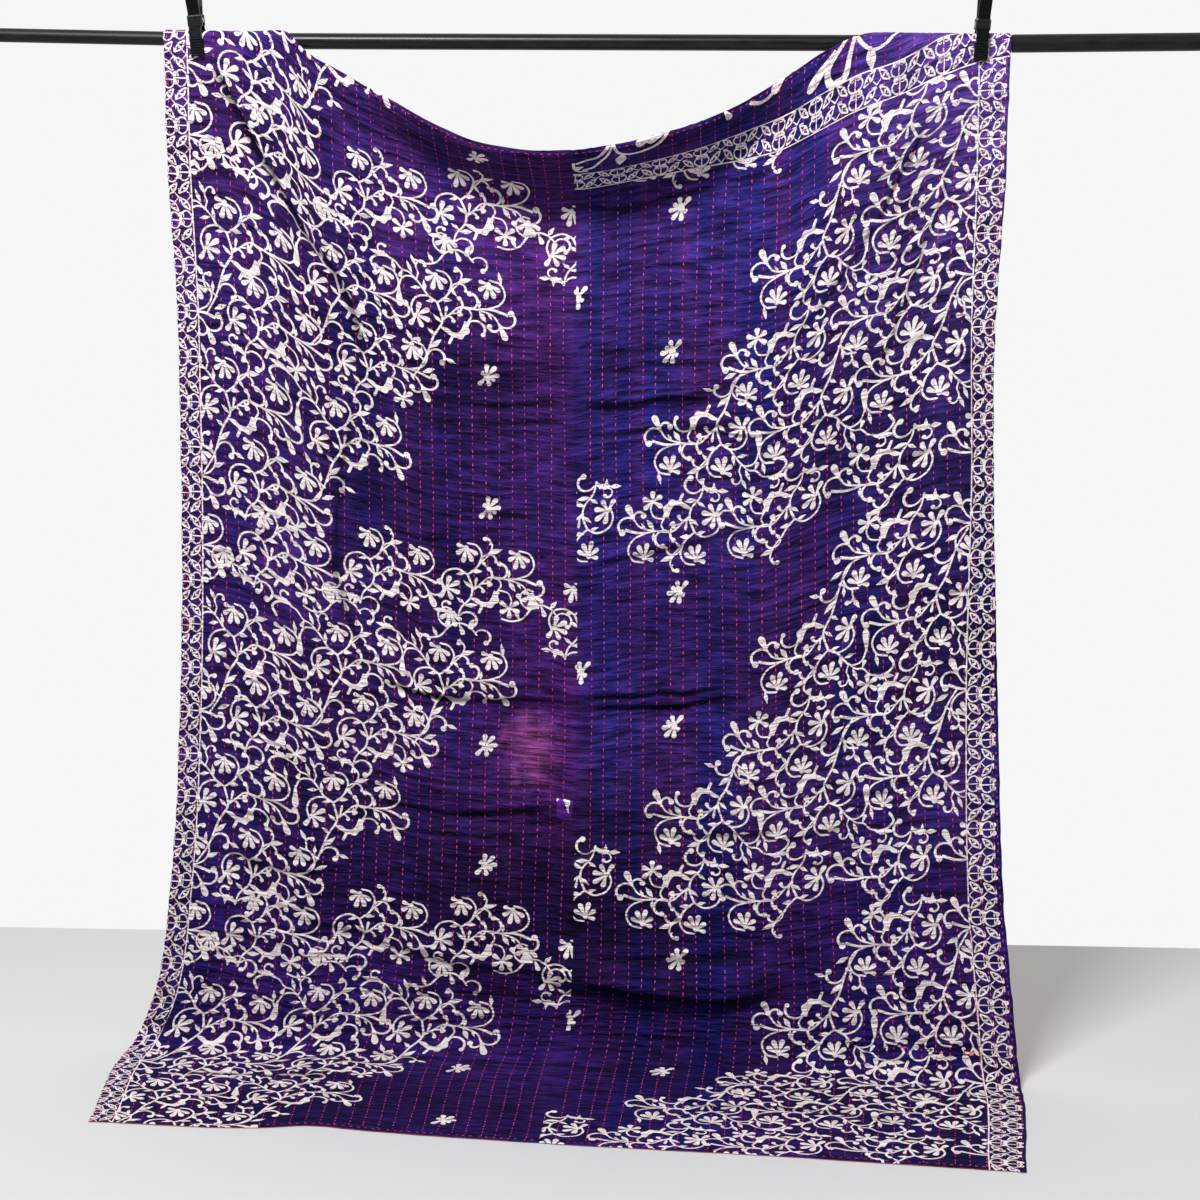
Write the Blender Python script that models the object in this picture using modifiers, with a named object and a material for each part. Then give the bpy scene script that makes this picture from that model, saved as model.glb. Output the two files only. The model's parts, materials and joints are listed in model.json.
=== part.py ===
"""Kantha quilt of two sewn panels, clamped over a telescopic rod and trailing forward onto the floor.

Metres, +Z up, the rod along X, the quilt's face towards -Y. The floor is at Z = 0.
The quilt's surface is one function of a place on the cloth: `across`, from its left edge, and
`row`, which runs from the top hem, over the rod, down the drop, round the bend and along the floor.
"""

import math

import bmesh
import bpy
import numpy as np
from mathutils import Matrix, Vector

# Whole object
ORIGIN_BEHIND_HEM = 0.2773  # the origin lies this far behind the foremost hem, half the depth
FRONT_REACH = 0.505  # rod's axis to the foremost point of the hem
ROD_BACK = FRONT_REACH - ORIGIN_BEHIND_HEM  # the rod's axis lies this far behind the origin

# Quilt
QUILT_WIDTH = 1.52
QUILT_THICK = 0.0025
SEAM_GAP = 0.0005
ROD_CLEARANCE = 0.0007  # between the quilt's inner face and the tube
HEM_CROSSINGS = (-0.515, 0.460)  # the hem crosses the rod here,
HEM_CROSSING_WIDTH = 0.075
HEM_LIFT = 0.0012  # and stands this much further off it
MOUTH_RAMP = 0.050  # the quilt has risen onto the middle tube half of this before its mouth
BEND_RADIUS = 0.045  # where the drop turns onto the floor
LEAN_POWER = 2.3  # how late in its drop the quilt comes forward
FLOOR_LEVEL = QUILT_THICK / 2
CLAMPED_DROP = 0.030  # the clamps hold the quilt flat this far below the axis

# Rod: three tubes that slide into each other
ROD_HEIGHT = 1.740
ROD_HALF_LENGTH = 1.06
TUBE_WALL = 0.0010
THIN_TUBE_RADIUS = 0.0114
MIDDLE_TUBE_RADIUS = 0.0132
WIDE_TUBE_RADIUS = 0.0147
THIN_TUBE_MOUTH = -0.515  # where the thin tube enters the middle one
WIDE_TUBE_MOUTH = 0.668  # where the middle tube enters the wide one
THIN_TUBE_RISE = 0.017  # slope of the thin tube, up towards its end
WIDE_TUBE_RISE = 0.013
TUBE_OVERLAP = 0.016
TUBE_STEPS = 40
CAP_FLANGE = 0.0025
CAP_PLUG = 0.018
CAP_PROUD = 0.0008
FIT_GAP = 0.0003

# Clamps: two arms crossed at a pin, with a pad on each jaw
CLAMP_PLACES = (("left", -0.666, -5.0), ("right", 0.617, 4.0))  # name, place along the rod, lean in degrees
ARM_WIDTH = 0.0200
ARM_THICK = 0.0050
PAD_THICK = 0.0030
PAD_HEIGHT = 0.0270
PAD_WIDTH = 0.0225
PIN_RADIUS = 0.0028
HOLE_FIT = 0.0004  # between the pin and the ears' holes
PIN_RISE = 0.0300  # pin's height above the rod's axis
HANDLE_TOP = 0.1000  # handle's end above the rod's axis
HANDLE_SPREAD = 0.0360  # handle's end from the clamp's middle
JAW_DROP = 0.0270  # jaw's end below the rod's axis
PAD_RIBS = 6
EAR_RADIUS = 0.0062
EAR_THICK = 0.0022
EAR_ROOT = 0.0105  # the ear starts inside its arm, this far from the pin
SPRING_WIRE = 0.0009
SPRING_FIT = 0.0005  # between the pin and the coil
SPRING_TURNS = 4
SPRING_LEG = 0.0150  # the legs end this far above the pin
SPRING_REACH = 0.0080  # and this far to its front and back

# Top hem, along the rod. start: the hem's place on the path over the rod, from the rod's top,
# negative behind it. slack: share of the awning that the slack hem makes there.
TOP_HEM = (
    # across, start, slack
    (-0.730, -0.070, 0.00),
    (-0.640, -0.064, 0.00),
    (-0.575, -0.040, 0.00),
    (-0.528, -0.004, 0.00),
    (-0.488, 0.039, 0.00),
    (-0.437, 0.068, 0.05),
    (-0.354, 0.112, 0.35),
    (-0.206, 0.181, 0.90),
    (-0.060, 0.196, 1.00),
    (0.088, 0.171, 1.00),
    (0.193, 0.137, 0.75),
    (0.298, 0.080, 0.22),
    (0.359, 0.040, 0.03),
    (0.417, 0.011, 0.00),
    (0.483, -0.010, 0.00),
    (0.560, -0.050, 0.00),
    (0.670, -0.070, 0.00),
)
HEM_FORWARD = 0.050  # the slack hem leans out by this much,
TROUGH_BACK = 0.062  # and the trough below it sinks back by this much,
TROUGH_DROP = 0.078  # this far below the hem,
TROUGH_FADE = 0.300  # and has levelled out after this much more

# Side edges. station: height above the floor, and below zero the distance along the floor.
SIDE_EDGES = (
    # station, left, right
    (1.760, -0.721, 0.664),
    (1.480, -0.711, 0.656),
    (1.160, -0.711, 0.655),
    (0.900, -0.714, 0.664),
    (0.600, -0.726, 0.678),
    (0.300, -0.750, 0.694),
    (0.100, -0.782, 0.716),
    (0.000, -0.818, 0.725),
    (-0.360, -0.822, 0.698),
)

# Bottom hem and the drop's lean. share: of the width. hem, lean: forward of the rod's axis.
BOTTOM_HEM = (
    # share, hem, lean
    (0.00, 0.381, 0.012),
    (0.19, 0.391, 0.014),
    (0.24, 0.380, 0.016),
    (0.30, 0.395, 0.018),
    (0.49, 0.430, 0.030),
    (0.75, 0.464, 0.060),
    (1.00, 0.505, 0.122),
)

# Folds of the drop: a soft ridge (depth above 0) or trough along a line between two points.
# bow: the line's middle above its chord. roll: a lip above the line and a hollow below it.
MAIN_FOLDS = (
    # across_1, height_1, across_2, height_2, bow, depth, roll, half_width
    (-0.655, 1.700, -0.430, 1.330, 0.000, -0.012, 0.000, 0.026),
    (-0.440, 1.360, -0.405, 0.760, 0.020, -0.014, 0.000, 0.055),
    (-0.610, 1.520, -0.560, 0.330, 0.010, 0.012, 0.000, 0.060),
    (-0.300, 1.420, -0.250, 0.420, 0.000, 0.012, 0.000, 0.075),
    (-0.130, 1.300, -0.120, 0.250, 0.000, -0.008, 0.000, 0.070),
    (0.600, 1.690, 0.250, 1.180, -0.050, 0.010, 0.000, 0.040),
    (0.560, 1.560, 0.420, 0.820, -0.020, -0.012, 0.000, 0.055),
    (0.300, 1.300, 0.290, 0.280, 0.000, 0.010, 0.000, 0.075),
    (0.600, 1.150, 0.610, 0.300, 0.000, 0.012, 0.000, 0.050),
    (-0.040, 1.150, 0.240, 1.190, -0.020, 0.000, 0.008, 0.030),
    (-0.290, 1.190, -0.050, 1.215, -0.015, 0.000, 0.006, 0.030),
    (-0.300, 0.660, 0.230, 0.655, -0.025, 0.000, 0.008, 0.030),
    (-0.340, 0.470, 0.120, 0.440, -0.020, 0.000, 0.007, 0.032),
    (-0.080, 0.150, 0.320, 0.150, -0.030, 0.018, 0.010, 0.036),
)

# Rows of the panels' meshes: where each zone of `row` begins and how many steps it takes
DROP, BEND, FLOOR = 1.0, 2.0, 3.0
PATH_BEHIND = -0.070  # path over the rod, from the rod's top, at row 0
PATH_FRONT = 0.230  # and at row 1
PATH_STEPS = ((-0.070, -0.025, 2), (-0.025, 0.026, 9), (0.026, 0.230, 9))  # path, from, to, steps
DROP_STEPS = ((0.00, 0.16, 7), (0.16, 0.935, 20), (0.935, 1.00, 3))  # share of the drop
BEND_STEPS = 5
FLOOR_STEPS = 3
LEFT_COLUMNS = ((0.000, 0.180, 3), (0.180, 0.285, 10), (0.285, 0.745, 6))  # metres across
RIGHT_COLUMNS = ((0.745, 1.155, 6), (1.155, 1.385, 11), (1.385, 1.520, 2))

# Patch sewn to the left panel
PATCH_ACROSS = (0.710, 0.739)
PATCH_HEIGHT = (0.4235, 0.4625)
PATCH_THICK = 0.0010
PATCH_GAP = 0.0007
PATCH_STEPS = 3

COLOURS = {
    # name: colour, roughness, metallic
    "indigo_cotton": ((0.070, 0.030, 0.190), 0.90, 0.0),
    "violet_cotton": ((0.100, 0.028, 0.190), 0.90, 0.0),
    "black_enamel": ((0.012, 0.012, 0.013), 0.30, 0.3),
    "black_plastic": ((0.014, 0.014, 0.015), 0.45, 0.0),
    "dull_steel": ((0.250, 0.250, 0.260), 0.40, 1.0),
}


def smooth_table(at, places, values):
    """Values of a smooth curve through a table's rows, level beyond its ends."""
    places, values = np.asarray(places, float), np.asarray(values, float)
    slopes = np.gradient(values, places)
    at = np.clip(at, places[0], places[-1])
    i = np.clip(np.searchsorted(places, at, side="right") - 1, 0, len(places) - 2)
    step = places[i + 1] - places[i]
    t = (at - places[i]) / step
    return (
        values[i] * (1 + 2 * t) * (1 - t) ** 2
        + slopes[i] * step * t * (1 - t) ** 2
        + values[i + 1] * t * t * (3 - 2 * t)
        - slopes[i + 1] * step * t * t * (1 - t)
    )


def ease(t):
    """0 to 1, level at both ends."""
    t = np.clip(t, 0.0, 1.0)
    return t * t * (3 - 2 * t)


def column(table, index):
    return [line[index] for line in table]


def rod_axis_height(x):
    left = THIN_TUBE_RISE * np.maximum(0.0, THIN_TUBE_MOUTH - x)
    right = WIDE_TUBE_RISE * np.maximum(0.0, x - WIDE_TUBE_MOUTH)
    return ROD_HEIGHT + left + right


def path_radius(x):
    """Radius of the quilt's middle surface where it passes over the tube at x."""
    thicker = ease((x - (THIN_TUBE_MOUTH - MOUTH_RAMP)) / (MOUTH_RAMP / 2))
    tube = THIN_TUBE_RADIUS + (MIDDLE_TUBE_RADIUS - THIN_TUBE_RADIUS) * thicker
    loose = sum(np.exp(-(((x - place) / HEM_CROSSING_WIDTH) ** 2)) for place in HEM_CROSSINGS)
    return tube + ROD_CLEARANCE + HEM_LIFT * loose + QUILT_THICK / 2


def hem_lengths():
    """Length along the drooping top hem at each row of TOP_HEM, as a share of the whole."""
    x = np.array(column(TOP_HEM, 0))
    drop = np.maximum(0.0, np.array(column(TOP_HEM, 1)))
    run = np.concatenate([[0.0], np.cumsum(np.hypot(np.diff(x), np.diff(drop)))])
    return run / run[-1]


def across_at_top(share):
    """Place along the rod of a lengthwise thread where it leaves the top hem."""
    x = np.interp(share, hem_lengths(), column(TOP_HEM, 0))
    ends = np.array([TOP_HEM[0][0], TOP_HEM[-1][0]])
    left, right = SIDE_EDGES[0][1], SIDE_EDGES[0][2]
    return left + (x - ends[0]) / (ends[1] - ends[0]) * (right - left)


def fold_relief(x, z, folds):
    """How far forward the folds push the drop at (x, z)."""
    relief = np.zeros_like(x)
    for x1, z1, x2, z2, bow, depth, roll, half_width in folds:
        run, rise = x2 - x1, z2 - z1
        length = math.hypot(run, rise)
        along = ((x - x1) * run + (z - z1) * rise) / length**2
        aside = ((z - z1) * run - (x - x1) * rise) / length
        aside = (aside - 4 * bow * along * (1 - along)) / half_width
        side = 1.0 if run > 0 else -1.0
        fade = ease(along / 0.3 + 0.5) * ease((1 - along) / 0.3 + 0.5)
        relief += fade * np.exp(-(aside**2)) * (depth + 2.33 * roll * side * aside)
    return relief


def awning(below_hem, slack):
    """The slack top hem leans out over a trough."""
    reach = HEM_FORWARD + TROUGH_BACK
    out = HEM_FORWARD - reach * ease(below_hem / TROUGH_DROP)
    back = TROUGH_BACK * ease((below_hem - TROUGH_DROP) / TROUGH_FADE)
    return slack * (out + back)


def quilt_point(across, row, folds=MAIN_FOLDS):
    """(x, y, z) of the quilt's middle surface, for arrays of places on the cloth."""
    across, row = np.broadcast_arrays(np.asarray(across, float), np.asarray(row, float))
    share = across / QUILT_WIDTH
    top_x = across_at_top(share)
    start = smooth_table(top_x, column(TOP_HEM, 0), column(TOP_HEM, 1))
    slack = smooth_table(top_x, column(TOP_HEM, 0), column(TOP_HEM, 2))
    radius, axis = path_radius(top_x), rod_axis_height(top_x)
    quarter = radius * math.pi / 2

    path = np.maximum(PATH_BEHIND + np.clip(row, 0, 1) * (PATH_FRONT - PATH_BEHIND), start)
    turn = np.clip(path / radius, -math.pi / 2, math.pi / 2)
    z_over = axis + radius * np.cos(turn) - np.maximum(0.0, np.abs(path) - quarter)
    z_front = axis - (PATH_FRONT - quarter)
    z_bend = FLOOR_LEVEL + BEND_RADIUS
    z_drop = z_front + np.clip(row - DROP, 0, 1) * (z_bend - z_front)
    z_hang = np.where(row < DROP, z_over, z_drop)

    lean = smooth_table(share, column(BOTTOM_HEM, 0), column(BOTTOM_HEM, 2))
    hem = smooth_table(share, column(BOTTOM_HEM, 0), column(BOTTOM_HEM, 1))
    bend = np.clip(row - BEND, 0, 1) * math.pi / 2
    run = np.clip(row - FLOOR, 0, 1)
    contact = radius + lean + BEND_RADIUS
    forward = radius + lean * np.clip(1 - z_hang / ROD_HEIGHT, 0, 1) ** LEAN_POWER
    forward = np.where(row < DROP, radius * np.sin(turn) + (forward - radius) * (path > 0), forward)
    forward = np.where(row > BEND, radius + lean + BEND_RADIUS * (1 - np.cos(bend)), forward)
    forward = np.where(row > FLOOR, contact + run * (hem - contact), forward)
    z = np.where(row > BEND, FLOOR_LEVEL + BEND_RADIUS * (1 - np.sin(bend)), z_hang)

    station = z - np.where(row > BEND, forward - radius - lean, 0.0) * ease((row - BEND) * 2)
    left = smooth_table(station, column(SIDE_EDGES, 0)[::-1], column(SIDE_EDGES, 1)[::-1])
    right = smooth_table(station, column(SIDE_EDGES, 0)[::-1], column(SIDE_EDGES, 2)[::-1])
    evenly = left + share * (right - left)
    x = evenly + (top_x - evenly) * ease((z - 1.25) / 0.35)

    free = ease((path - quarter - CLAMPED_DROP) / 0.050) * ease((z - 0.5 * z_bend) / 0.060)
    below_hem = np.maximum(0.0, axis - (start - quarter) - z)
    forward = forward + free * (fold_relief(x, z, folds) + awning(below_hem, slack))
    return np.stack([x, ROD_BACK - forward, z], axis=-1)


def steps_through(zones):
    """Places through a list of (from, to, steps) zones."""
    places = [np.linspace(low, high, steps + 1)[1:] for low, high, steps in zones]
    return np.concatenate([[zones[0][0]], *places])


def quilt_rows():
    over = (steps_through(PATH_STEPS) - PATH_BEHIND) / (PATH_FRONT - PATH_BEHIND)
    drop = DROP + steps_through(DROP_STEPS)[1:]
    bend = BEND + np.linspace(0, 1, BEND_STEPS + 1)[1:]
    floor = FLOOR + np.linspace(0, 1, FLOOR_STEPS + 1)[1:]
    return np.concatenate([over, drop, bend, floor])


def material(name):
    colour, roughness, metallic = COLOURS[name]
    made = bpy.data.materials.get(name) or bpy.data.materials.new(name)
    made.use_nodes = True
    shader = made.node_tree.nodes["Principled BSDF"]
    shader.inputs["Base Color"].default_value = (*colour, 1.0)
    shader.inputs["Roughness"].default_value = roughness
    shader.inputs["Metallic"].default_value = metallic
    made.diffuse_color = (*colour, 1.0)
    return made


def add_object(name, mesh, collection, finish, place=(0, 0, 0), turn=(0, 0, 0), smooth=True):
    made = bpy.data.objects.new(name, mesh)
    made.location, made.rotation_euler = place, turn
    mesh.materials.append(material(finish))
    if smooth:
        mesh.shade_smooth()
    collection.objects.link(made)
    return made


def sheet_mesh(name, points):
    """An open mesh through a grid of points. Rows that lie on each other are merged."""
    rows, columns = points.shape[:2]
    mesh = bpy.data.meshes.new(name)
    build = bmesh.new()
    grid = [[build.verts.new(p) for p in line] for line in points.tolist()]
    for j in range(rows - 1):
        for i in range(columns - 1):
            build.faces.new((grid[j][i], grid[j + 1][i], grid[j + 1][i + 1]))
            build.faces.new((grid[j][i], grid[j + 1][i + 1], grid[j][i + 1]))
    bmesh.ops.remove_doubles(build, verts=build.verts, dist=0.0002)
    bmesh.ops.dissolve_degenerate(build, edges=build.edges, dist=0.0002)
    build.to_mesh(mesh)
    build.free()
    return mesh


def add_sheet(name, points, thickness, collection, finish):
    made = add_object(name, sheet_mesh(name, points), collection, finish)
    shell = made.modifiers.new("thickness", "SOLIDIFY")
    shell.thickness, shell.offset = thickness, 0.0
    return made


def panel_columns(zones, first_shift, last_shift):
    """Places across a panel's columns. Its edge at the seam is drawn back by half the gap."""
    across = steps_through(zones)
    across[0] += first_shift
    across[-1] += last_shift
    return across


def add_quilt(collection):
    rows = quilt_rows()[:, None]
    left = panel_columns(LEFT_COLUMNS, 0.0, -SEAM_GAP / 2)
    right = panel_columns(RIGHT_COLUMNS, SEAM_GAP / 2, 0.0)
    panels = (("quilt_left", left, "violet_cotton"), ("quilt_right", right, "indigo_cotton"))
    for name, across, finish in panels:
        add_sheet(name, quilt_point(across[None, :], rows), QUILT_THICK, collection, finish)


def row_at_height(height):
    """The row of the drop at a height above the floor, in the quilt's middle."""
    z_front = ROD_HEIGHT - (PATH_FRONT - path_radius(0.0) * math.pi / 2)
    return DROP + (z_front - height) / (z_front - FLOOR_LEVEL - BEND_RADIUS)


def on_facets(across, rows, at_across, at_rows):
    """Points on the flat facets between the grid points of a panel."""
    i = np.clip(np.searchsorted(across, at_across) - 1, 0, len(across) - 2)
    j = np.clip(np.searchsorted(rows, at_rows) - 1, 0, len(rows) - 2)
    u = ((at_across - across[i]) / (across[i + 1] - across[i]))[..., None]
    v = ((at_rows - rows[j]) / (rows[j + 1] - rows[j]))[..., None]
    grid = quilt_point(across[None, :], rows[:, None])
    corner, opposite = grid[j, i], grid[j + 1, i + 1]
    below = corner + v * (grid[j + 1, i] - corner) + u * (opposite - grid[j + 1, i])
    beside = corner + u * (grid[j, i + 1] - corner) + v * (opposite - grid[j, i + 1])
    return np.where(v > u, below, beside)


def add_patch(collection):
    """A small sheet that follows the left panel's facets."""
    across, rows = panel_columns(LEFT_COLUMNS, 0.0, -SEAM_GAP / 2), quilt_rows()
    top, bottom = row_at_height(PATCH_HEIGHT[1]), row_at_height(PATCH_HEIGHT[0])
    at_rows, at_across = np.meshgrid(
        np.linspace(top, bottom, PATCH_STEPS + 1),
        np.linspace(*PATCH_ACROSS, PATCH_STEPS + 1),
        indexing="ij",
    )
    points = on_facets(across, rows, at_across, at_rows)
    outward = np.cross(points[-1, 0] - points[0, 0], points[0, -1] - points[0, 0])
    outward /= -np.linalg.norm(outward) * np.sign(outward[1])
    lift = QUILT_THICK / 2 + PATCH_GAP + PATCH_THICK / 2
    add_sheet("patch", points + lift * outward, PATCH_THICK, collection, "violet_cotton")


def turned_mesh(name, profile):
    """A closed profile of (along, radius) points turned round the X axis by a Screw modifier."""
    mesh = bpy.data.meshes.new(name)
    build = bmesh.new()
    loop = [build.verts.new((along, radius, 0.0)) for along, radius in profile]
    for i, vert in enumerate(loop):
        build.edges.new((vert, loop[(i + 1) % len(loop)]))
    build.to_mesh(mesh)
    build.free()
    return mesh


def add_turned(name, profile, collection, finish, place, rise):
    made = add_object(name, turned_mesh(name, profile), collection, finish, place, (0, -rise, 0))
    screw = made.modifiers.new("turn", "SCREW")
    screw.axis, screw.angle = "X", 2 * math.pi
    screw.steps = screw.render_steps = TUBE_STEPS
    screw.use_merge_vertices, screw.merge_threshold = True, 0.00001
    return made


def tube_profile(start, end, radius):
    inner = radius - TUBE_WALL
    return ((end, inner), (end, radius), (start, radius), (start, inner))


def cap_profile(end, tube_radius, side):
    """A plug in the tube's end and a flange over it. side: +1 at the right end."""
    bore = tube_radius - TUBE_WALL - FIT_GAP
    flange = tube_radius + CAP_PROUD
    face = end + side * (FIT_GAP + CAP_FLANGE)
    seat = end + side * FIT_GAP
    outline = (
        (end - side * CAP_PLUG, 0.0),
        (end - side * CAP_PLUG, bore),
        (seat, bore),
        (seat, flange),
        (face - side * 0.0006, flange),
        (face, flange - 0.0008),
        (face, 0.0),
    )
    return outline if side < 0 else outline[::-1]


def add_rod(collection):
    """Each tube's profile is measured from its own mouth, where it tilts."""
    thin_length = ROD_HALF_LENGTH + THIN_TUBE_MOUTH - CAP_FLANGE
    wide_length = ROD_HALF_LENGTH - WIDE_TUBE_MOUTH - CAP_FLANGE
    left_mouth = (THIN_TUBE_MOUTH, ROD_BACK, ROD_HEIGHT)
    right_mouth = (WIDE_TUBE_MOUTH, ROD_BACK, ROD_HEIGHT)
    middle = (0.0, ROD_BACK, ROD_HEIGHT)
    left_rise, right_rise = -math.atan(THIN_TUBE_RISE), math.atan(WIDE_TUBE_RISE)
    tubes = (
        ("rod_thin_tube", (-thin_length, TUBE_OVERLAP, THIN_TUBE_RADIUS), left_mouth, left_rise),
        ("rod_middle_tube", (THIN_TUBE_MOUTH, WIDE_TUBE_MOUTH + TUBE_OVERLAP, MIDDLE_TUBE_RADIUS), middle, 0.0),
        ("rod_wide_tube", (0.0, wide_length, WIDE_TUBE_RADIUS), right_mouth, right_rise),
    )
    for name, (start, end, radius), place, rise in tubes:
        add_turned(name, tube_profile(start, end, radius), collection, "black_enamel", place, rise)
    caps = (
        ("rod_cap_left", cap_profile(-thin_length, THIN_TUBE_RADIUS, -1), left_mouth, left_rise),
        ("rod_cap_right", cap_profile(wide_length, WIDE_TUBE_RADIUS, 1), right_mouth, right_rise),
    )
    for name, profile, place, rise in caps:
        add_turned(name, profile, collection, "black_plastic", place, rise)


def extruded_mesh(name, outline, width):
    """A flat outline of (forward, height) points made `width` wide along X, its middle at X = 0."""
    mesh = bpy.data.meshes.new(name)
    build = bmesh.new()
    loop = [build.verts.new((-width / 2, -forward, height)) for forward, height in outline]
    face = build.faces.new(loop)
    moved = bmesh.ops.extrude_face_region(build, geom=[face])
    verts = [item for item in moved["geom"] if isinstance(item, bmesh.types.BMVert)]
    bmesh.ops.translate(build, verts=verts, vec=(width, 0, 0))
    bmesh.ops.recalc_face_normals(build, faces=build.faces)
    build.to_mesh(mesh)
    build.free()
    return mesh


def thick_line(line, thickness):
    """A closed outline round an open line of (forward, height) points."""
    points = np.array(line)
    along = np.gradient(points, axis=0)
    along /= np.linalg.norm(along, axis=1, keepdims=True)
    aside = np.stack([-along[:, 1], along[:, 0]], axis=1) * thickness / 2
    return np.concatenate([points + aside, (points - aside)[::-1]]).tolist()


def clamp_radius(x):
    """Rod's axis to the quilt's outer face at x."""
    return path_radius(x) + QUILT_THICK / 2


def arm_line(x):
    """One arm, from the jaw's end up past the pin to the handle's end, as (forward, height) points."""
    pad_face = clamp_radius(x) + FIT_GAP
    jaw = pad_face + PAD_THICK + FIT_GAP + ARM_THICK / 2
    return (
        (jaw, -JAW_DROP),
        (jaw, -0.008),
        (jaw, 0.003),
        (jaw - 0.0025, 0.014),
        (0.0098, PIN_RISE - 0.004),
        (0.0098, PIN_RISE + 0.007),
        (0.0135, PIN_RISE + 0.020),
        (0.5 * (0.0135 + HANDLE_SPREAD) - 0.001, 0.5 * (PIN_RISE + 0.020 + HANDLE_TOP)),
        (HANDLE_SPREAD, HANDLE_TOP),
    )


def ribbed_outline(inner, height_low, height_high, ribs):
    """A jaw pad's outline: flat towards the quilt, low ribs towards the arm's side edges."""
    outer = inner + PAD_THICK
    levels = np.linspace(height_low, height_high, 2 * ribs + 1)
    back = [(outer if i % 2 else outer - 0.0005, z) for i, z in enumerate(levels)]
    return [(inner, height_high), (inner, height_low), *back]


def spring_points():
    """A coil round the pin, with a leg up to each arm, as (x, y, z) points round the pin's middle."""
    radius = PIN_RADIUS + SPRING_FIT + SPRING_WIRE
    half = ARM_WIDTH / 2 - 2 * EAR_THICK - 2 * FIT_GAP - SPRING_WIRE
    count = 12 * SPRING_TURNS
    turn = np.linspace(0, 2 * math.pi * (SPRING_TURNS + 0.5), count + 1)
    x = np.linspace(-half, half, count + 1)
    coil = np.stack([x, radius * np.cos(turn), -radius * np.sin(turn)], axis=1)
    legs = [[-half, SPRING_REACH, SPRING_LEG]], [[half, -SPRING_REACH, SPRING_LEG]]
    return np.concatenate([legs[0], coil, legs[1]])


def add_spring(name, collection, place, turn):
    curve = bpy.data.curves.new(name, "CURVE")
    curve.dimensions, curve.bevel_depth = "3D", SPRING_WIRE
    curve.bevel_resolution, curve.use_fill_caps = 2, True
    spline = curve.splines.new("POLY")
    points = spring_points()
    spline.points.add(len(points) - 1)
    for point, place_on_coil in zip(spline.points, points):
        point.co = (*place_on_coil, 1.0)
    made = bpy.data.objects.new(name, curve)
    made.location, made.rotation_euler = place, turn
    curve.materials.append(material("dull_steel"))
    collection.objects.link(made)


def add_pin(name, collection, place, turn):
    half = ARM_WIDTH / 2 + 0.0022
    profile = (
        (-half, 0.0),
        (-half, PIN_RADIUS + 0.0012),
        (-ARM_WIDTH / 2 - FIT_GAP, PIN_RADIUS + 0.0012),
        (-ARM_WIDTH / 2 - FIT_GAP, PIN_RADIUS),
        (ARM_WIDTH / 2 + FIT_GAP, PIN_RADIUS),
        (ARM_WIDTH / 2 + FIT_GAP, PIN_RADIUS + 0.0012),
        (half, PIN_RADIUS + 0.0012),
        (half, 0.0),
    )
    made = add_turned(name, profile[::-1], collection, "dull_steel", place, 0.0)
    made.rotation_euler = turn
    made.modifiers["turn"].steps = made.modifiers["turn"].render_steps = 20


def add_helper(name, mesh, place, turn):
    """A hidden shape that a Boolean joins to a piece or cuts from it."""
    cutters = bpy.data.collections.get("cutters")
    if cutters is None:
        cutters = bpy.data.collections.new("cutters")
        bpy.context.scene.collection.children.link(cutters)
    made = bpy.data.objects.new(name, mesh)
    made.location, made.rotation_euler = place, turn
    made.hide_render, made.display_type = True, "WIRE"
    cutters.objects.link(made)
    return made


def ear_mesh(name, middle):
    """A cheek of an arm: a plate from the arm to round the pin, `middle` across the clamp."""
    angles = np.linspace(-math.pi / 2, -3 * math.pi / 2, 13)
    nose = [(EAR_RADIUS * math.cos(t), PIN_RISE + EAR_RADIUS * math.sin(t)) for t in angles]
    root = [(EAR_ROOT, PIN_RISE + EAR_RADIUS), (EAR_ROOT, PIN_RISE - EAR_RADIUS + 0.0015)]
    mesh = extruded_mesh(name, nose + root, EAR_THICK)
    for vert in mesh.vertices:
        vert.co.x += middle
    return mesh


def hole_mesh(name, radius, length, height):
    mesh = bpy.data.meshes.new(name)
    build = bmesh.new()
    bmesh.ops.create_cone(
        build, cap_ends=True, segments=24, radius1=radius, radius2=radius, depth=length
    )
    bmesh.ops.rotate(build, verts=build.verts, matrix=Matrix.Rotation(math.pi / 2, 3, "Y"))
    bmesh.ops.translate(build, verts=build.verts, vec=(0, 0, height))
    build.to_mesh(mesh)
    build.free()
    return mesh


def add_boolean(made, helper, operation):
    change = made.modifiers.new(helper.name, "BOOLEAN")
    change.operation, change.object = operation, helper


def add_arm(side, end, line, ear_middle, place, turn, collection):
    name = f"clamp_{side}_{end}_arm"
    mesh = extruded_mesh(name, thick_line(line, ARM_THICK), ARM_WIDTH)
    made = add_object(name, mesh, collection, "black_plastic", place, turn, False)
    for hand, middle in (("a", -ear_middle), ("b", ear_middle)):
        ear = add_helper(f"{name}_ear_{hand}", ear_mesh(name, middle), place, turn)
        add_boolean(made, ear, "UNION")
    hole = hole_mesh(name, PIN_RADIUS + HOLE_FIT, 2 * ARM_WIDTH, PIN_RISE)
    add_boolean(made, add_helper(f"{name}_hole", hole, place, turn), "DIFFERENCE")


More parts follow.
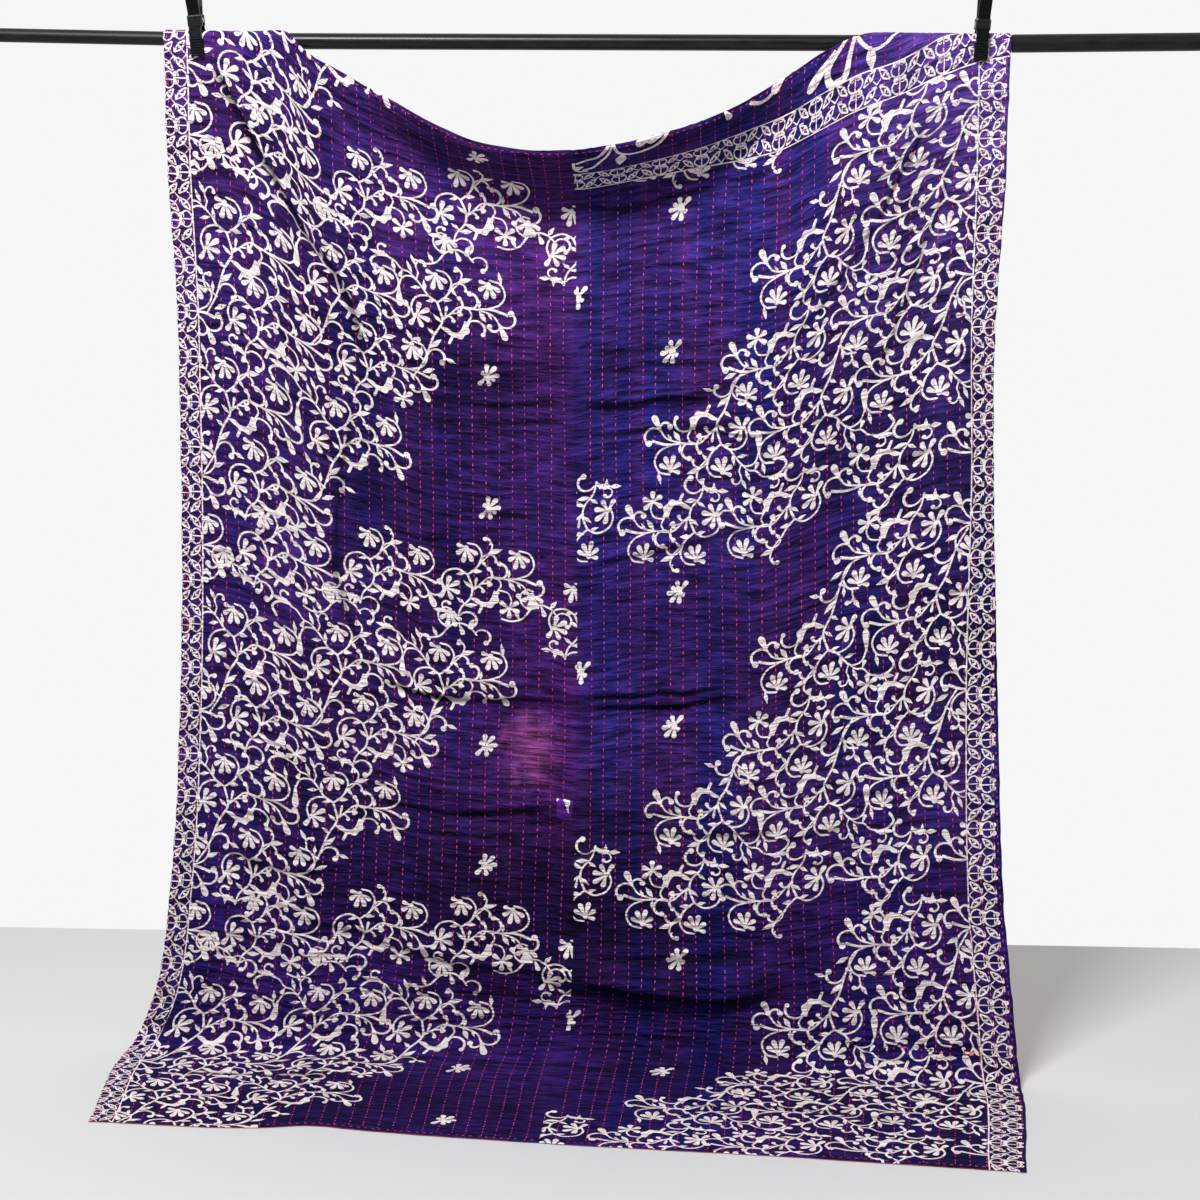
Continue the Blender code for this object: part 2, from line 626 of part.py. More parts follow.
def add_clamp(side, x, lean, collection):
    """Two arms whose ears share a pin, a coil spring round it, and a pad on each jaw."""
    place = Vector((x, ROD_BACK, float(rod_axis_height(np.array(x)))))
    tilt = Matrix.Rotation(math.radians(lean), 3, "Y")
    line = arm_line(x)
    pad_face = clamp_radius(x) + FIT_GAP
    outer_ear = ARM_WIDTH / 2 - EAR_THICK / 2
    inner_ear = outer_ear - EAR_THICK - FIT_GAP
    for end, facing, ear_middle in (("front", 0.0, outer_ear), ("back", math.pi, inner_ear)):
        turn = (tilt @ Matrix.Rotation(facing, 3, "Z")).to_euler()
        add_arm(side, end, line, ear_middle, place, turn, collection)
        outline = ribbed_outline(pad_face, -JAW_DROP, -JAW_DROP + PAD_HEIGHT, PAD_RIBS)
        name = f"clamp_{side}_{end}_pad"
        pad = extruded_mesh(name, outline, PAD_WIDTH)
        add_object(name, pad, collection, "black_plastic", place, turn, False)
    pin_place = place + tilt @ Vector((0, 0, PIN_RISE))
    add_pin(f"clamp_{side}_pin", collection, pin_place, tilt.to_euler())
    add_spring(f"clamp_{side}_spring", collection, pin_place, tilt.to_euler())


def main():
    for obj in list(bpy.data.objects):
        bpy.data.objects.remove(obj, do_unlink=True)
    collection = bpy.data.collections.new("kantha_quilt_on_rod")
    bpy.context.scene.collection.children.link(collection)
    add_quilt(collection)
    add_patch(collection)
    add_rod(collection)
    for side, x, lean in CLAMP_PLACES:
        add_clamp(side, x, lean, collection)


main()
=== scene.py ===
"""Kantha quilt of two printed panels, clamped over a telescopic rod and trailing onto the floor.

Metres, +Z up, the rod along X, the quilt's face towards -Y. A place on the cloth is `across`, from
its left edge, and `down`, the length along the cloth from its top hem.
"""

import json
import math

import bmesh
import bpy
import numpy as np
from bpy.props import FloatProperty, FloatVectorProperty, PointerProperty
from mathutils import Matrix, Vector
from mathutils.geometry import delaunay_2d_cdt

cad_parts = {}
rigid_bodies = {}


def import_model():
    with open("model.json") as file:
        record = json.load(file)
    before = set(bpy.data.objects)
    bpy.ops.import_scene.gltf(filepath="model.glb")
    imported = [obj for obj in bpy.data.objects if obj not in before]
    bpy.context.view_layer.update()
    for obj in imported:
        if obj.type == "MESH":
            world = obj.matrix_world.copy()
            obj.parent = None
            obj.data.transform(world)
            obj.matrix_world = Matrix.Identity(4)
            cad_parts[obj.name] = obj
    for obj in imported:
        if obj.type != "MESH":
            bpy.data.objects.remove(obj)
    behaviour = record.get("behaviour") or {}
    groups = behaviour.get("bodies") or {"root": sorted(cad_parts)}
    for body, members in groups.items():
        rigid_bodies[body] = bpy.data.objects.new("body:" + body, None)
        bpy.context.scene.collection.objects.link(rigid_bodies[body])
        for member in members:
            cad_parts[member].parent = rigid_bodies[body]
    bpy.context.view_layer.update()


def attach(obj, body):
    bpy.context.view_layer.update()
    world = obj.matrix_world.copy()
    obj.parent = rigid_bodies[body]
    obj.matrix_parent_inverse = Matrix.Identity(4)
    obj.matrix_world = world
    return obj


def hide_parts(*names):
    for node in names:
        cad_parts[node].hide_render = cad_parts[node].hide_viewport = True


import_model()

bl_info = {
    "name": "Kantha quilt on a rod",
    "version": (1, 0, 0),
    "blender": (4, 5, 0),
    "location": "View3D > Sidebar > Kantha quilt",
    "description": "Makes a two-panel kantha quilt clamped over a telescopic rod",
    "category": "Add Mesh",
}

# ---------------------------------------------------------------- the cloth's shape

ROD_BACK = 0.2277
QUILT_WIDTH = 1.52
CLOTH_LENGTH = 2.20  # top hem to bottom hem, along the cloth
LEFT_PANEL_WIDTH = 0.745
QUILT_THICK = 0.0025
ROD_CLEARANCE = 0.0007
HEM_CROSSINGS = (-0.515, 0.460)
HEM_CROSSING_WIDTH = 0.075
HEM_LIFT = 0.0012
MOUTH_RAMP = 0.050
BEND_RADIUS = 0.045
LEAN_POWER = 2.3
FLOOR_LEVEL = QUILT_THICK / 2
CLAMPED_DROP = 0.030
ROD_HEIGHT = 1.740
THIN_TUBE_RADIUS = 0.0114
MIDDLE_TUBE_RADIUS = 0.0132
THIN_TUBE_MOUTH = -0.515
WIDE_TUBE_MOUTH = 0.668
THIN_TUBE_RISE = 0.017
WIDE_TUBE_RISE = 0.013
CLAMP_PLACES = {"left": -0.666, "right": 0.617}  # along the rod

TOP_HEM = (
    # place along the rod, hem's place on the path over it, share of the slack awning
    (-0.730, -0.070, 0.00),
    (-0.640, -0.064, 0.00),
    (-0.575, -0.040, 0.00),
    (-0.528, -0.004, 0.00),
    (-0.488, 0.039, 0.00),
    (-0.437, 0.068, 0.05),
    (-0.354, 0.112, 0.35),
    (-0.206, 0.181, 0.90),
    (-0.060, 0.196, 1.00),
    (0.088, 0.171, 1.00),
    (0.193, 0.137, 0.75),
    (0.298, 0.080, 0.22),
    (0.359, 0.040, 0.03),
    (0.417, 0.011, 0.00),
    (0.483, -0.010, 0.00),
    (0.560, -0.050, 0.00),
    (0.670, -0.070, 0.00),
)
HEM_FORWARD = 0.050
TROUGH_BACK = 0.062
TROUGH_DROP = 0.078
TROUGH_FADE = 0.300

SIDE_EDGES = (
    # height above the floor, or below zero the distance along it, left edge, right edge
    (-0.360, -0.822, 0.698),
    (0.000, -0.818, 0.725),
    (0.100, -0.782, 0.716),
    (0.300, -0.750, 0.694),
    (0.600, -0.726, 0.678),
    (0.900, -0.714, 0.664),
    (1.160, -0.711, 0.655),
    (1.480, -0.711, 0.656),
    (1.760, -0.721, 0.664),
)

BOTTOM_HEM = (
    # share of the width, hem's and drop's reach in front of the rod's axis
    (0.00, 0.381, 0.012),
    (0.19, 0.391, 0.014),
    (0.24, 0.380, 0.016),
    (0.30, 0.395, 0.018),
    (0.49, 0.430, 0.030),
    (0.75, 0.464, 0.060),
    (1.00, 0.505, 0.122),
)

MAIN_FOLDS = (
    # across_1, height_1, across_2, height_2, bow, depth, roll, half_width
    (-0.655, 1.700, -0.430, 1.330, 0.000, -0.012, 0.000, 0.026),
    (-0.440, 1.360, -0.405, 0.760, 0.020, -0.014, 0.000, 0.055),
    (-0.610, 1.520, -0.560, 0.330, 0.010, 0.012, 0.000, 0.060),
    (-0.300, 1.420, -0.250, 0.420, 0.000, 0.012, 0.000, 0.075),
    (-0.130, 1.300, -0.120, 0.250, 0.000, -0.008, 0.000, 0.070),
    (0.600, 1.690, 0.250, 1.180, -0.050, 0.010, 0.000, 0.040),
    (0.560, 1.560, 0.420, 0.820, -0.020, -0.012, 0.000, 0.055),
    (0.300, 1.300, 0.290, 0.280, 0.000, 0.010, 0.000, 0.075),
    (0.600, 1.150, 0.610, 0.300, 0.000, 0.012, 0.000, 0.050),
    (-0.040, 1.150, 0.240, 1.190, -0.020, 0.000, 0.008, 0.030),
    (-0.290, 1.190, -0.050, 1.215, -0.015, 0.000, 0.006, 0.030),
    (-0.300, 0.660, 0.230, 0.655, -0.025, 0.000, 0.008, 0.030),
    (-0.340, 0.470, 0.120, 0.440, -0.020, 0.000, 0.007, 0.032),
    (-0.080, 0.150, 0.320, 0.150, -0.030, 0.018, 0.010, 0.036),
)

FOLD_FADE = 0.3  # share of a fold's length over which it fades at either end
ROLL_SHAPE = 2.33  # brings a roll's crest to the height that the table gives
TOP_PULL = (1.25, 0.35)  # the cloth spreads as its top hem does from this height on, over this much
FREE_TOP, FREE_FOOT = 0.050, 0.060  # the folds start over these lengths, below the rod and off the floor

# A row of quilt_point runs from 0 over the rod, from DROP down, from BEND round the foot's bend and
# from FLOOR out over the floor to 4
DROP, BEND, FLOOR = 1.0, 2.0, 3.0
PATH_BEHIND = -0.070
PATH_FRONT = 0.230
TABLE_COLUMNS, TABLE_ROWS, TABLE_LENGTHS = 153, 2001, 1101  # in length_table


def column(table, index):
    return np.array([line[index] for line in table])


def smooth_table(at, table, index):
    """A smooth curve through one column of a table, level beyond its ends. The first says where."""
    places, values = column(table, 0), column(table, index)
    slopes = np.gradient(values, places)
    at = np.clip(at, places[0], places[-1])
    i = np.clip(np.searchsorted(places, at, side="right") - 1, 0, len(places) - 2)
    step = places[i + 1] - places[i]
    t = (at - places[i]) / step
    return (
        values[i] * (1 + 2 * t) * (1 - t) ** 2
        + slopes[i] * step * t * (1 - t) ** 2
        + values[i + 1] * t * t * (3 - 2 * t)
        - slopes[i + 1] * step * t * t * (1 - t)
    )


def ease(t):
    """0 to 1, level at both ends."""
    t = np.clip(t, 0.0, 1.0)
    return t * t * (3 - 2 * t)


def rod_axis_height(x):
    left = THIN_TUBE_RISE * np.maximum(0.0, THIN_TUBE_MOUTH - x)
    right = WIDE_TUBE_RISE * np.maximum(0.0, x - WIDE_TUBE_MOUTH)
    return ROD_HEIGHT + left + right


def path_radius(x):
    """Radius of the quilt's middle surface where it passes over the tube at x."""
    thicker = ease((x - (THIN_TUBE_MOUTH - MOUTH_RAMP)) / (MOUTH_RAMP / 2))
    tube = THIN_TUBE_RADIUS + (MIDDLE_TUBE_RADIUS - THIN_TUBE_RADIUS) * thicker
    loose = sum(np.exp(-(((x - place) / HEM_CROSSING_WIDTH) ** 2)) for place in HEM_CROSSINGS)
    return tube + ROD_CLEARANCE + HEM_LIFT * loose + QUILT_THICK / 2


def hem_lengths():
    """Length along the drooping top hem at each row of TOP_HEM, as a share of the whole."""
    x = column(TOP_HEM, 0)
    drop = np.maximum(0.0, column(TOP_HEM, 1))
    run = np.concatenate([[0.0], np.cumsum(np.hypot(np.diff(x), np.diff(drop)))])
    return run / run[-1]


def across_at_top(share):
    """Place along the rod of a lengthwise thread where it leaves the top hem."""
    places = column(TOP_HEM, 0)
    x = np.interp(share, hem_lengths(), places)
    left, right = SIDE_EDGES[-1][1:]
    return left + (x - places[0]) / (places[-1] - places[0]) * (right - left)


def fold_relief(x, z):
    """How far forward the folds push the drop at (x, z)."""
    height = np.zeros_like(x)
    for x1, z1, x2, z2, bow, depth, roll, half_width in MAIN_FOLDS:
        run, rise = x2 - x1, z2 - z1
        length = math.hypot(run, rise)
        along = ((x - x1) * run + (z - z1) * rise) / length**2
        aside = ((z - z1) * run - (x - x1) * rise) / length
        aside = (aside - 4 * bow * along * (1 - along)) / half_width
        side = 1.0 if run > 0 else -1.0
        fade = ease(along / FOLD_FADE + 0.5) * ease((1 - along) / FOLD_FADE + 0.5)
        height += fade * np.exp(-(aside**2)) * (depth + ROLL_SHAPE * roll * side * aside)
    return height


def awning(below_hem, slack):
    """The slack top hem leans out over a trough."""
    reach = HEM_FORWARD + TROUGH_BACK
    out = HEM_FORWARD - reach * ease(below_hem / TROUGH_DROP)
    back = TROUGH_BACK * ease((below_hem - TROUGH_DROP) / TROUGH_FADE)
    return slack * (out + back)


def quilt_point(across, row):
    """(x, y, z) of the quilt's middle surface, for arrays of places on the cloth."""
    across, row = np.broadcast_arrays(np.asarray(across, float), np.asarray(row, float))
    share = across / QUILT_WIDTH
    top_x = across_at_top(share)
    start = smooth_table(top_x, TOP_HEM, 1)
    slack = smooth_table(top_x, TOP_HEM, 2)
    radius, axis = path_radius(top_x), rod_axis_height(top_x)
    quarter = radius * math.pi / 2

    path = np.maximum(PATH_BEHIND + np.clip(row, 0, 1) * (PATH_FRONT - PATH_BEHIND), start)
    turn = np.clip(path / radius, -math.pi / 2, math.pi / 2)
    z_over = axis + radius * np.cos(turn) - np.maximum(0.0, np.abs(path) - quarter)
    z_front = axis - (PATH_FRONT - quarter)
    z_bend = FLOOR_LEVEL + BEND_RADIUS
    z_drop = z_front + np.clip(row - DROP, 0, 1) * (z_bend - z_front)
    z_hang = np.where(row < DROP, z_over, z_drop)

    lean = smooth_table(share, BOTTOM_HEM, 2)
    hem = smooth_table(share, BOTTOM_HEM, 1)
    bend = np.clip(row - BEND, 0, 1) * math.pi / 2
    run = np.clip(row - FLOOR, 0, 1)
    contact = radius + lean + BEND_RADIUS
    forward = radius + lean * np.clip(1 - z_hang / ROD_HEIGHT, 0, 1) ** LEAN_POWER
    forward = np.where(row < DROP, radius * np.sin(turn) + (forward - radius) * (path > 0), forward)
    forward = np.where(row > BEND, radius + lean + BEND_RADIUS * (1 - np.cos(bend)), forward)
    forward = np.where(row > FLOOR, contact + run * (hem - contact), forward)
    z = np.where(row > BEND, FLOOR_LEVEL + BEND_RADIUS * (1 - np.sin(bend)), z_hang)

    station = z - np.where(row > BEND, forward - radius - lean, 0.0) * ease((row - BEND) * 2)
    left = smooth_table(station, SIDE_EDGES, 1)
    right = smooth_table(station, SIDE_EDGES, 2)
    evenly = left + share * (right - left)
    x = evenly + (top_x - evenly) * ease((z - TOP_PULL[0]) / TOP_PULL[1])

    free = ease((path - quarter - CLAMPED_DROP) / FREE_TOP) * ease((z - 0.5 * z_bend) / FREE_FOOT)
    below_hem = np.maximum(0.0, axis - (start - quarter) - z)
    forward = forward + free * (fold_relief(x, z) + awning(below_hem, slack))
    return np.stack([x, ROD_BACK - forward, z], axis=-1)


def length_table():
    """For columns across the quilt, the row of quilt_point at even lengths down the cloth."""
    across = np.linspace(0, QUILT_WIDTH, TABLE_COLUMNS)
    rows = np.linspace(0, 4, TABLE_ROWS)
    points = quilt_point(across[:, None], rows[None, :])
    run = np.cumsum(np.linalg.norm(np.diff(points, axis=1), axis=-1), axis=1)
    run = np.concatenate([np.zeros((len(across), 1)), run], axis=1)
    down = np.linspace(0, CLOTH_LENGTH, TABLE_LENGTHS)
    table = [np.interp(down, line * (CLOTH_LENGTH / line[-1]), rows) for line in run]
    return across, down, np.array(table)


ACROSS_TABLE, DOWN_TABLE, ROW_TABLE = length_table()
LAST_CELL = 1.001  # a place on the table's far edge is looked up just inside it


def row_at(across, down):
    """The row of quilt_point at places on the cloth."""
    u = np.clip(across / ACROSS_TABLE[1], 0, len(ACROSS_TABLE) - LAST_CELL)
    v = np.clip(down / DOWN_TABLE[1], 0, len(DOWN_TABLE) - LAST_CELL)
    i, j = u.astype(int), v.astype(int)
    s, t = u - i, v - j
    near = ROW_TABLE[i, j] * (1 - t) + ROW_TABLE[i, j + 1] * t
    far = ROW_TABLE[i + 1, j] * (1 - t) + ROW_TABLE[i + 1, j + 1] * t
    return near * (1 - s) + far * s


def cloth_point(across, down):
    across, down = np.broadcast_arrays(across, down)
    return quilt_point(np.clip(across, 0, QUILT_WIDTH), row_at(across, down))


def way_out(across, down, place, reach):
    """Unit vectors out of the quilt's face, from the slopes of `place` over a short reach."""
    left, right = np.clip(across - reach, 0, QUILT_WIDTH), np.clip(across + reach, 0, QUILT_WIDTH)
    above, below = np.clip(down - reach, 0, CLOTH_LENGTH), np.clip(down + reach, 0, CLOTH_LENGTH)
    sideways = place(right, down) - place(left, down)
    lengthways = place(across, below) - place(across, above)
    out = np.cross(lengthways, sideways)
    return out / np.maximum(np.linalg.norm(out, axis=-1, keepdims=True), 1e-12)


NOISE_CELLS = 256


def noise(u, v, seed):
    """Smooth noise from -1 to 1, one cell to a unit."""
    grid = np.random.default_rng(seed).uniform(-1, 1, (NOISE_CELLS, NOISE_CELLS))
    i, j = np.floor(u).astype(int), np.floor(v).astype(int)
    s, t = ease(u - i), ease(v - j)
    i, j = i % NOISE_CELLS, j % NOISE_CELLS
    i_next, j_next = (i + 1) % NOISE_CELLS, (j + 1) % NOISE_CELLS
    near = grid[i, j] * (1 - t) + grid[i, j_next] * t
    far = grid[i_next, j] * (1 - t) + grid[i_next, j_next] * t
    return near * (1 - s) + far * s


# Creases laid on the main folds: a trough (depth above 0) of half width `half_width` and a ridge
# (lip) on the side above it, or to the left of a crease that runs down
CREASES = (
    # depth, half_width and lip in tenths of a millimetre, places (across, down) in millimetres
    (105, 61, 50, ((75, 120), (100, 160), (140, 225), (200, 288), (265, 348))),
    (72, 72, 30, ((230, 315), (295, 370), (330, 430), (345, 520))),
    (41, 79, 20, ((330, 560), (305, 740), (290, 900), (330, 1020), (385, 1100))),
    (32, 58, 20, ((390, 500), (520, 478), (640, 468), (715, 463))),
    (49, 50, 28, ((415, 540), (560, 552), (740, 537))),
    (35, 47, 20, ((455, 582), (600, 585), (740, 568))),
    (38, 58, 26, ((380, 1110), (560, 1112), (735, 1092))),
    (52, 58, 32, ((330, 1330), (520, 1342), (735, 1310))),
    (38, 50, 22, ((420, 1385), (580, 1382), (738, 1362))),
    (43, 58, 26, ((748, 168), (830, 190), (930, 176), (1030, 172))),
    (29, 50, 18, ((755, 258), (880, 266), (1000, 245), (1080, 236))),
    (32, 50, 18, ((755, 300), (900, 308), (1060, 292))),
    (38, 58, 20, ((752, 448), (870, 452), (985, 455))),
    (35, 50, 20, ((752, 480), (900, 482), (1020, 488))),
    (67, 54, 34, ((748, 542), (830, 548), (920, 546), (1010, 556))),
    (49, 58, 28, ((752, 598), (870, 604), (985, 606), (1080, 590))),
    (43, 65, 26, ((752, 846), (900, 826), (1020, 800), (1110, 770))),
    (67, 54, 36, ((742, 1080), (880, 1090), (1035, 1084))),
    (58, 50, 30, ((742, 1107), (890, 1116), (1035, 1104))),
    (46, 58, 28, ((752, 1350), (930, 1362), (1160, 1350))),
    (49, 65, 30, ((756, 1598), (940, 1600), (1120, 1578))),
    (87, 79, 50, ((748, 1650), (860, 1668), (980, 1684), (1100, 1672))),
    (43, 58, 22, ((1410, 150), (1340, 270), (1240, 400), (1120, 500))),
    (35, 65, 18, ((1440, 240), (1380, 420), (1290, 620))),
    (43, 72, 24, ((180, 1560), (330, 1600), (520, 1640), (700, 1650))),
    (38, 65, 20, ((60, 1480), (200, 1500), (330, 1470))),
    (43, 79, 26, ((340, 1820), (560, 1850), (760, 1840), (980, 1870))),
    (43, 79, 26, ((60, 1980), (300, 1960), (520, 2000))),
    (43, 79, 26, ((900, 2020), (1120, 1990), (1360, 2030))),
)
SMALL_CREASES = 90
SMALL_ACROSS, SMALL_DOWN = (0.09, 1.44), (0.16, 2.14)  # lowest and highest of the middles
SMALL_REACH = (0.030, 0.100)
SMALL_DEPTH, SMALL_WIDTH, SMALL_LIP = (0.0012, 0.0034), (0.0034, 0.0052), 0.0012
CREASE_OFFSETS = (-1.9, -0.8, 0.0, 0.8)  # of the mesh's lines, in half widths from the bottom
CREASE_REACH = 4.5  # half widths
CREASE_FADE = 0.22  # share of a crease's length over which it fades at either end
LIP_PLACE = 1.9  # half widths from the bottom
CREASE_WANDER, WANDER_CELL = 0.0035, 0.045
BROAD_PUCKERS, CLOSE_PUCKERS = 0.0011, 0.0006


def all_creases():
    """The charted creases and short shallow ones scattered between them, nearly level."""
    creases = []
    for depth, half_width, lip, line in CREASES:
        creases.append((depth / 10000, half_width / 10000, lip / 10000, np.array(line) / 1000))
    chance = np.random.default_rng(61)
    for _ in range(SMALL_CREASES):
        across, down = chance.uniform(*SMALL_ACROSS), chance.uniform(*SMALL_DOWN)
        reach, tilt = chance.uniform(*SMALL_REACH), chance.normal(0.0, 0.06)
        sag = chance.normal(0.0, 0.004)
        along = (-1, -0.4, 0.3, 1)
        line = [(across + t * reach, down + t * reach * tilt + (1 - t * t) * sag) for t in along]
        creases.append((chance.uniform(*SMALL_DEPTH), chance.uniform(*SMALL_WIDTH), SMALL_LIP, line))
    return creases


ALL_CREASES = all_creases()


def crease_wander(across, down):
    return CREASE_WANDER * noise(across / WANDER_CELL, down / WANDER_CELL, 3)


def crease_places():
    """Places along and beside every crease, which the mesh follows."""
    places = []
    for _, half_width, _, line in ALL_CREASES:
        path = smooth_path(line, 8)
        aside = along_and_aside(path)[1]
        wander = crease_wander(path[:, 0], path[:, 1])
        for offset in CREASE_OFFSETS:
            places.append(path + (offset * half_width - wander)[:, None] * aside)
    return np.concatenate(places)


def nearest_on_path(path, here):
    """Distance of places from a path, less than 0 above one that runs to the right, and the share of
    the path that leads to its nearest place."""
    best = np.full(len(here), 1e9)
    side, share = np.zeros(len(here)), np.zeros(len(here))
    run = np.concatenate([[0.0], np.cumsum(np.linalg.norm(np.diff(path, axis=0), axis=1))])
    for k, (start, end) in enumerate(zip(path, path[1:])):
        step = end - start
        length = np.linalg.norm(step)
        offset = here - start
        t = np.clip(offset @ step / length**2, 0, 1)
        distance = np.linalg.norm(offset - t[:, None] * step, axis=1)
        closer = distance < best
        best = np.where(closer, distance, best)
        side = np.where(closer, (step[0] * offset[:, 1] - step[1] * offset[:, 0]) / length, side)
        share = np.where(closer, (run[k] + t * length) / run[-1], share)
    return np.sign(side) * best, share


def crease_relief(across, down):
    """Height of the creases over the main folds."""
    height = np.zeros_like(across)
    wander = crease_wander(across, down)
    for depth, half_width, lip, line in ALL_CREASES:
        path = smooth_path(line, 4)
        reach = CREASE_REACH * half_width
        low, high = path.min(0) - reach, path.max(0) + reach
        near = (across > low[0]) & (across < high[0]) & (down > low[1]) & (down < high[1])
        if not near.any():
            continue
        distance, share = nearest_on_path(path, np.stack([across[near], down[near]], -1))
        apart = (distance + wander[near]) / half_width
        fade = ease(share / CREASE_FADE) * ease((1 - share) / CREASE_FADE)
        trough = -depth * np.exp(-((np.abs(apart) / 0.8) ** 1.5))
        ridge = lip * np.exp(-(((apart + LIP_PLACE) / 1.35) ** 2))
        height[near] += fade * (trough + ridge)
    return height


def pucker_relief(across, down):
    """Height of the small ripples that the rows of stitches draw up across the cloth."""
    bend = 0.35 * noise(across / 0.16, down / 0.11, 11)
    broad = noise(across / 0.085, down / 0.0150 + bend, 12)
    close = noise(across / 0.055, down / 0.0085 + 2 * bend, 13)
    uneven = 0.65 + 0.35 * noise(across / 0.20, down / 0.16, 14)
    return uneven * (BROAD_PUCKERS * broad + CLOSE_PUCKERS * close)


NEAR_ROD, NEAR_FLOOR = 1.690, 0.004  # heights over and under which the cloth rests on them
RESTING_SHARE = 0.6  # of a ridge's height that is left where the cloth rests
CLAMP_HOLD = 0.020  # half the width that a clamp keeps flat


def relief(across, down):
    """Height of creases and ripples. Nothing sinks into the rod or floor, or moves in a clamp."""
    settings = bpy.context.scene.kantha_quilt
    base = cloth_point(across, down)
    height = settings.crease_depth * crease_relief(across, down)
    height = height + settings.pucker_depth * pucker_relief(across, down)
    x, z = base[..., 0], base[..., 2]
    on_rod, on_floor = ease((z - NEAR_ROD) / 0.030), 1 - ease((z - NEAR_FLOOR) / 0.05)
    resting = np.maximum(on_rod, on_floor)
    height = height * (1 - resting) + resting * RESTING_SHARE * np.maximum(height, 0.0)
    for middle in CLAMP_PLACES.values():
        held = np.exp(-(((x - middle) / CLAMP_HOLD) ** 4)) * ease((z - NEAR_ROD) / 0.02)
        height = height * (1 - held)
    return height


HEM_ROUNDING = 0.0022  # the edge turns over within this distance
HEM_WANDER, SCALLOP = 0.0009, 0.001  # sideways, and between the top hem's stitches
SCALLOP_REPEAT = 0.019
WANDER_REACH = 0.008
FACE_REACH, SHADE_REACH = 0.003, 0.0012  # over which the cloth's slopes are taken
HANGING = 0.05  # height from which the cloth hangs and does not lie


def edge_thinning(across, down, low, high):
    """Share of the quilt's thickness near a panel's turned edges."""
    inward = np.minimum(np.minimum(across - low, high - across), np.minimum(down, CLOTH_LENGTH - down))
    t = np.clip(inward / HEM_ROUNDING, 0, 1)
    return np.sqrt(np.maximum(0.0, 1 - (1 - t) ** 2))


def hem_noise(inward, along, seed):
    """Noise along a hem that fades away inwards."""
    return np.exp(-inward / WANDER_REACH) * noise(along, along * 0, seed)


def worn_edge(across, down):
    """How far the hems wander in their own plane, from the stitches that draw them in."""
    top = np.exp(-down / 0.006) * (1.2 * np.abs(np.sin(math.pi * across / SCALLOP_REPEAT)) - 0.6)
    left = hem_noise(across, down / 0.02, 21)
    right = hem_noise(QUILT_WIDTH - across, down / 0.02, 22)
    bottom = hem_noise(CLOTH_LENGTH - down, across / 0.022, 23)
    return HEM_WANDER * (left - right), SCALLOP * top + HEM_WANDER * bottom


def quilt_surface(across, down, height, edges=None):
    """Points at a height above the quilt's middle surface, folds and creases included."""
    base = cloth_point(across, down)
    out = way_out(across, down, cloth_point, FACE_REACH)
    if edges is not None:
        height = height * edge_thinning(across, down, *edges)
    return base + out * (relief(across, down) + height)[..., None]


def shaded_surface(across, down, height, edges):
    """Points of one face of a panel, with the ways out that its shading uses."""
    points = quilt_surface(across, down, height, edges)
    sideways, lengthways = worn_edge(across, down)
    points[..., 0] += sideways
    points[..., 2] -= np.where(points[..., 2] > HANGING, lengthways, 0.0)
    points[..., 1] -= np.where(points[..., 2] > HANGING, 0.0, lengthways)
    points[..., 2] = np.maximum(points[..., 2], 0.0)
    out = way_out(across, down, lambda a, d: quilt_surface(a, d, height, edges), SHADE_REACH)
    return points, out if height > 0 else -out


# ---------------------------------------------------------------- the print, charted in millimetres
# A motif's x runs towards the panel's border and its y towards the top hem. A place in the print is
# (u, v): u from the border's inner line towards the seam, v down the cloth.


def smooth_path(places, steps):
    """Points of a smooth curve through a few places."""
    p = np.asarray(places, float)
    ends = np.vstack([2 * p[0] - p[1], p, 2 * p[-1] - p[-2]])
    t = np.linspace(0, 1, steps, endpoint=False)[:, None]
    out = []
    for a, b, c, d in zip(ends, ends[1:], ends[2:], ends[3:]):
        curve = 2 * b + (c - a) * t + (2 * a - 5 * b + 4 * c - d) * t**2
        out.append(0.5 * (curve + (3 * b - a - 3 * c + d) * t**3))
    return np.vstack([*out, p[-1:]])


def along_and_aside(path):
    """Unit vectors along a path and across it."""
    along = np.gradient(path, axis=0)
    along /= np.linalg.norm(along, axis=1, keepdims=True)
    return along, np.stack([-along[:, 1], along[:, 0]], 1)


def directions(turns):
    """Unit vectors at some turns, in radians."""
    return np.stack([np.cos(turns), np.sin(turns)], 1)


def ring(count):
    return directions(np.arange(count) * math.tau / count)


def ribbon(path, widths):
    """The outline of a stroke whose width follows a few values, with a rounded end."""
    along, aside = along_and_aside(path)
    half = np.interp(np.linspace(0, 1, len(path)), np.linspace(0, 1, len(widths)), widths) / 2
    half = half[:, None]
    cap = path[-1] + along[-1] * half[-1] * 0.8 + aside[-1] * half[-1] * np.array([[0.55], [-0.55]])
    return np.vstack([path + aside * half, cap, (path - aside * half)[::-1]])


def stem(start_width, end_width, *places):
    return ribbon(smooth_path(places, 6), (start_width, end_width))


def aim(degrees):
    return np.array([math.cos(math.radians(degrees)), math.sin(math.radians(degrees))])


PETAL = ((0.0, 0.20), (0.2, 0.36), (0.45, 0.70), (0.68, 0.98), (0.82, 1.0), (0.94, 0.72), (1.0, 0.30))
LEAF = ((0.0, 0.16), (0.2, 0.66), (0.42, 1.0), (0.62, 0.84), (0.82, 0.42), (1.0, 0.05))


def lobe(x, y, degrees, length, width, profile=LEAF):
    """A leaf or petal on a straight line; its profile is (share of the length, share of the width)."""
    t, w = np.array(profile).T[:, :, None]
    mid = np.array([x, y]) + aim(degrees) * length * t
    aside = aim(degrees + 90) * w * width / 2
    return np.vstack([mid + aside, (mid - aside)[::-1]])


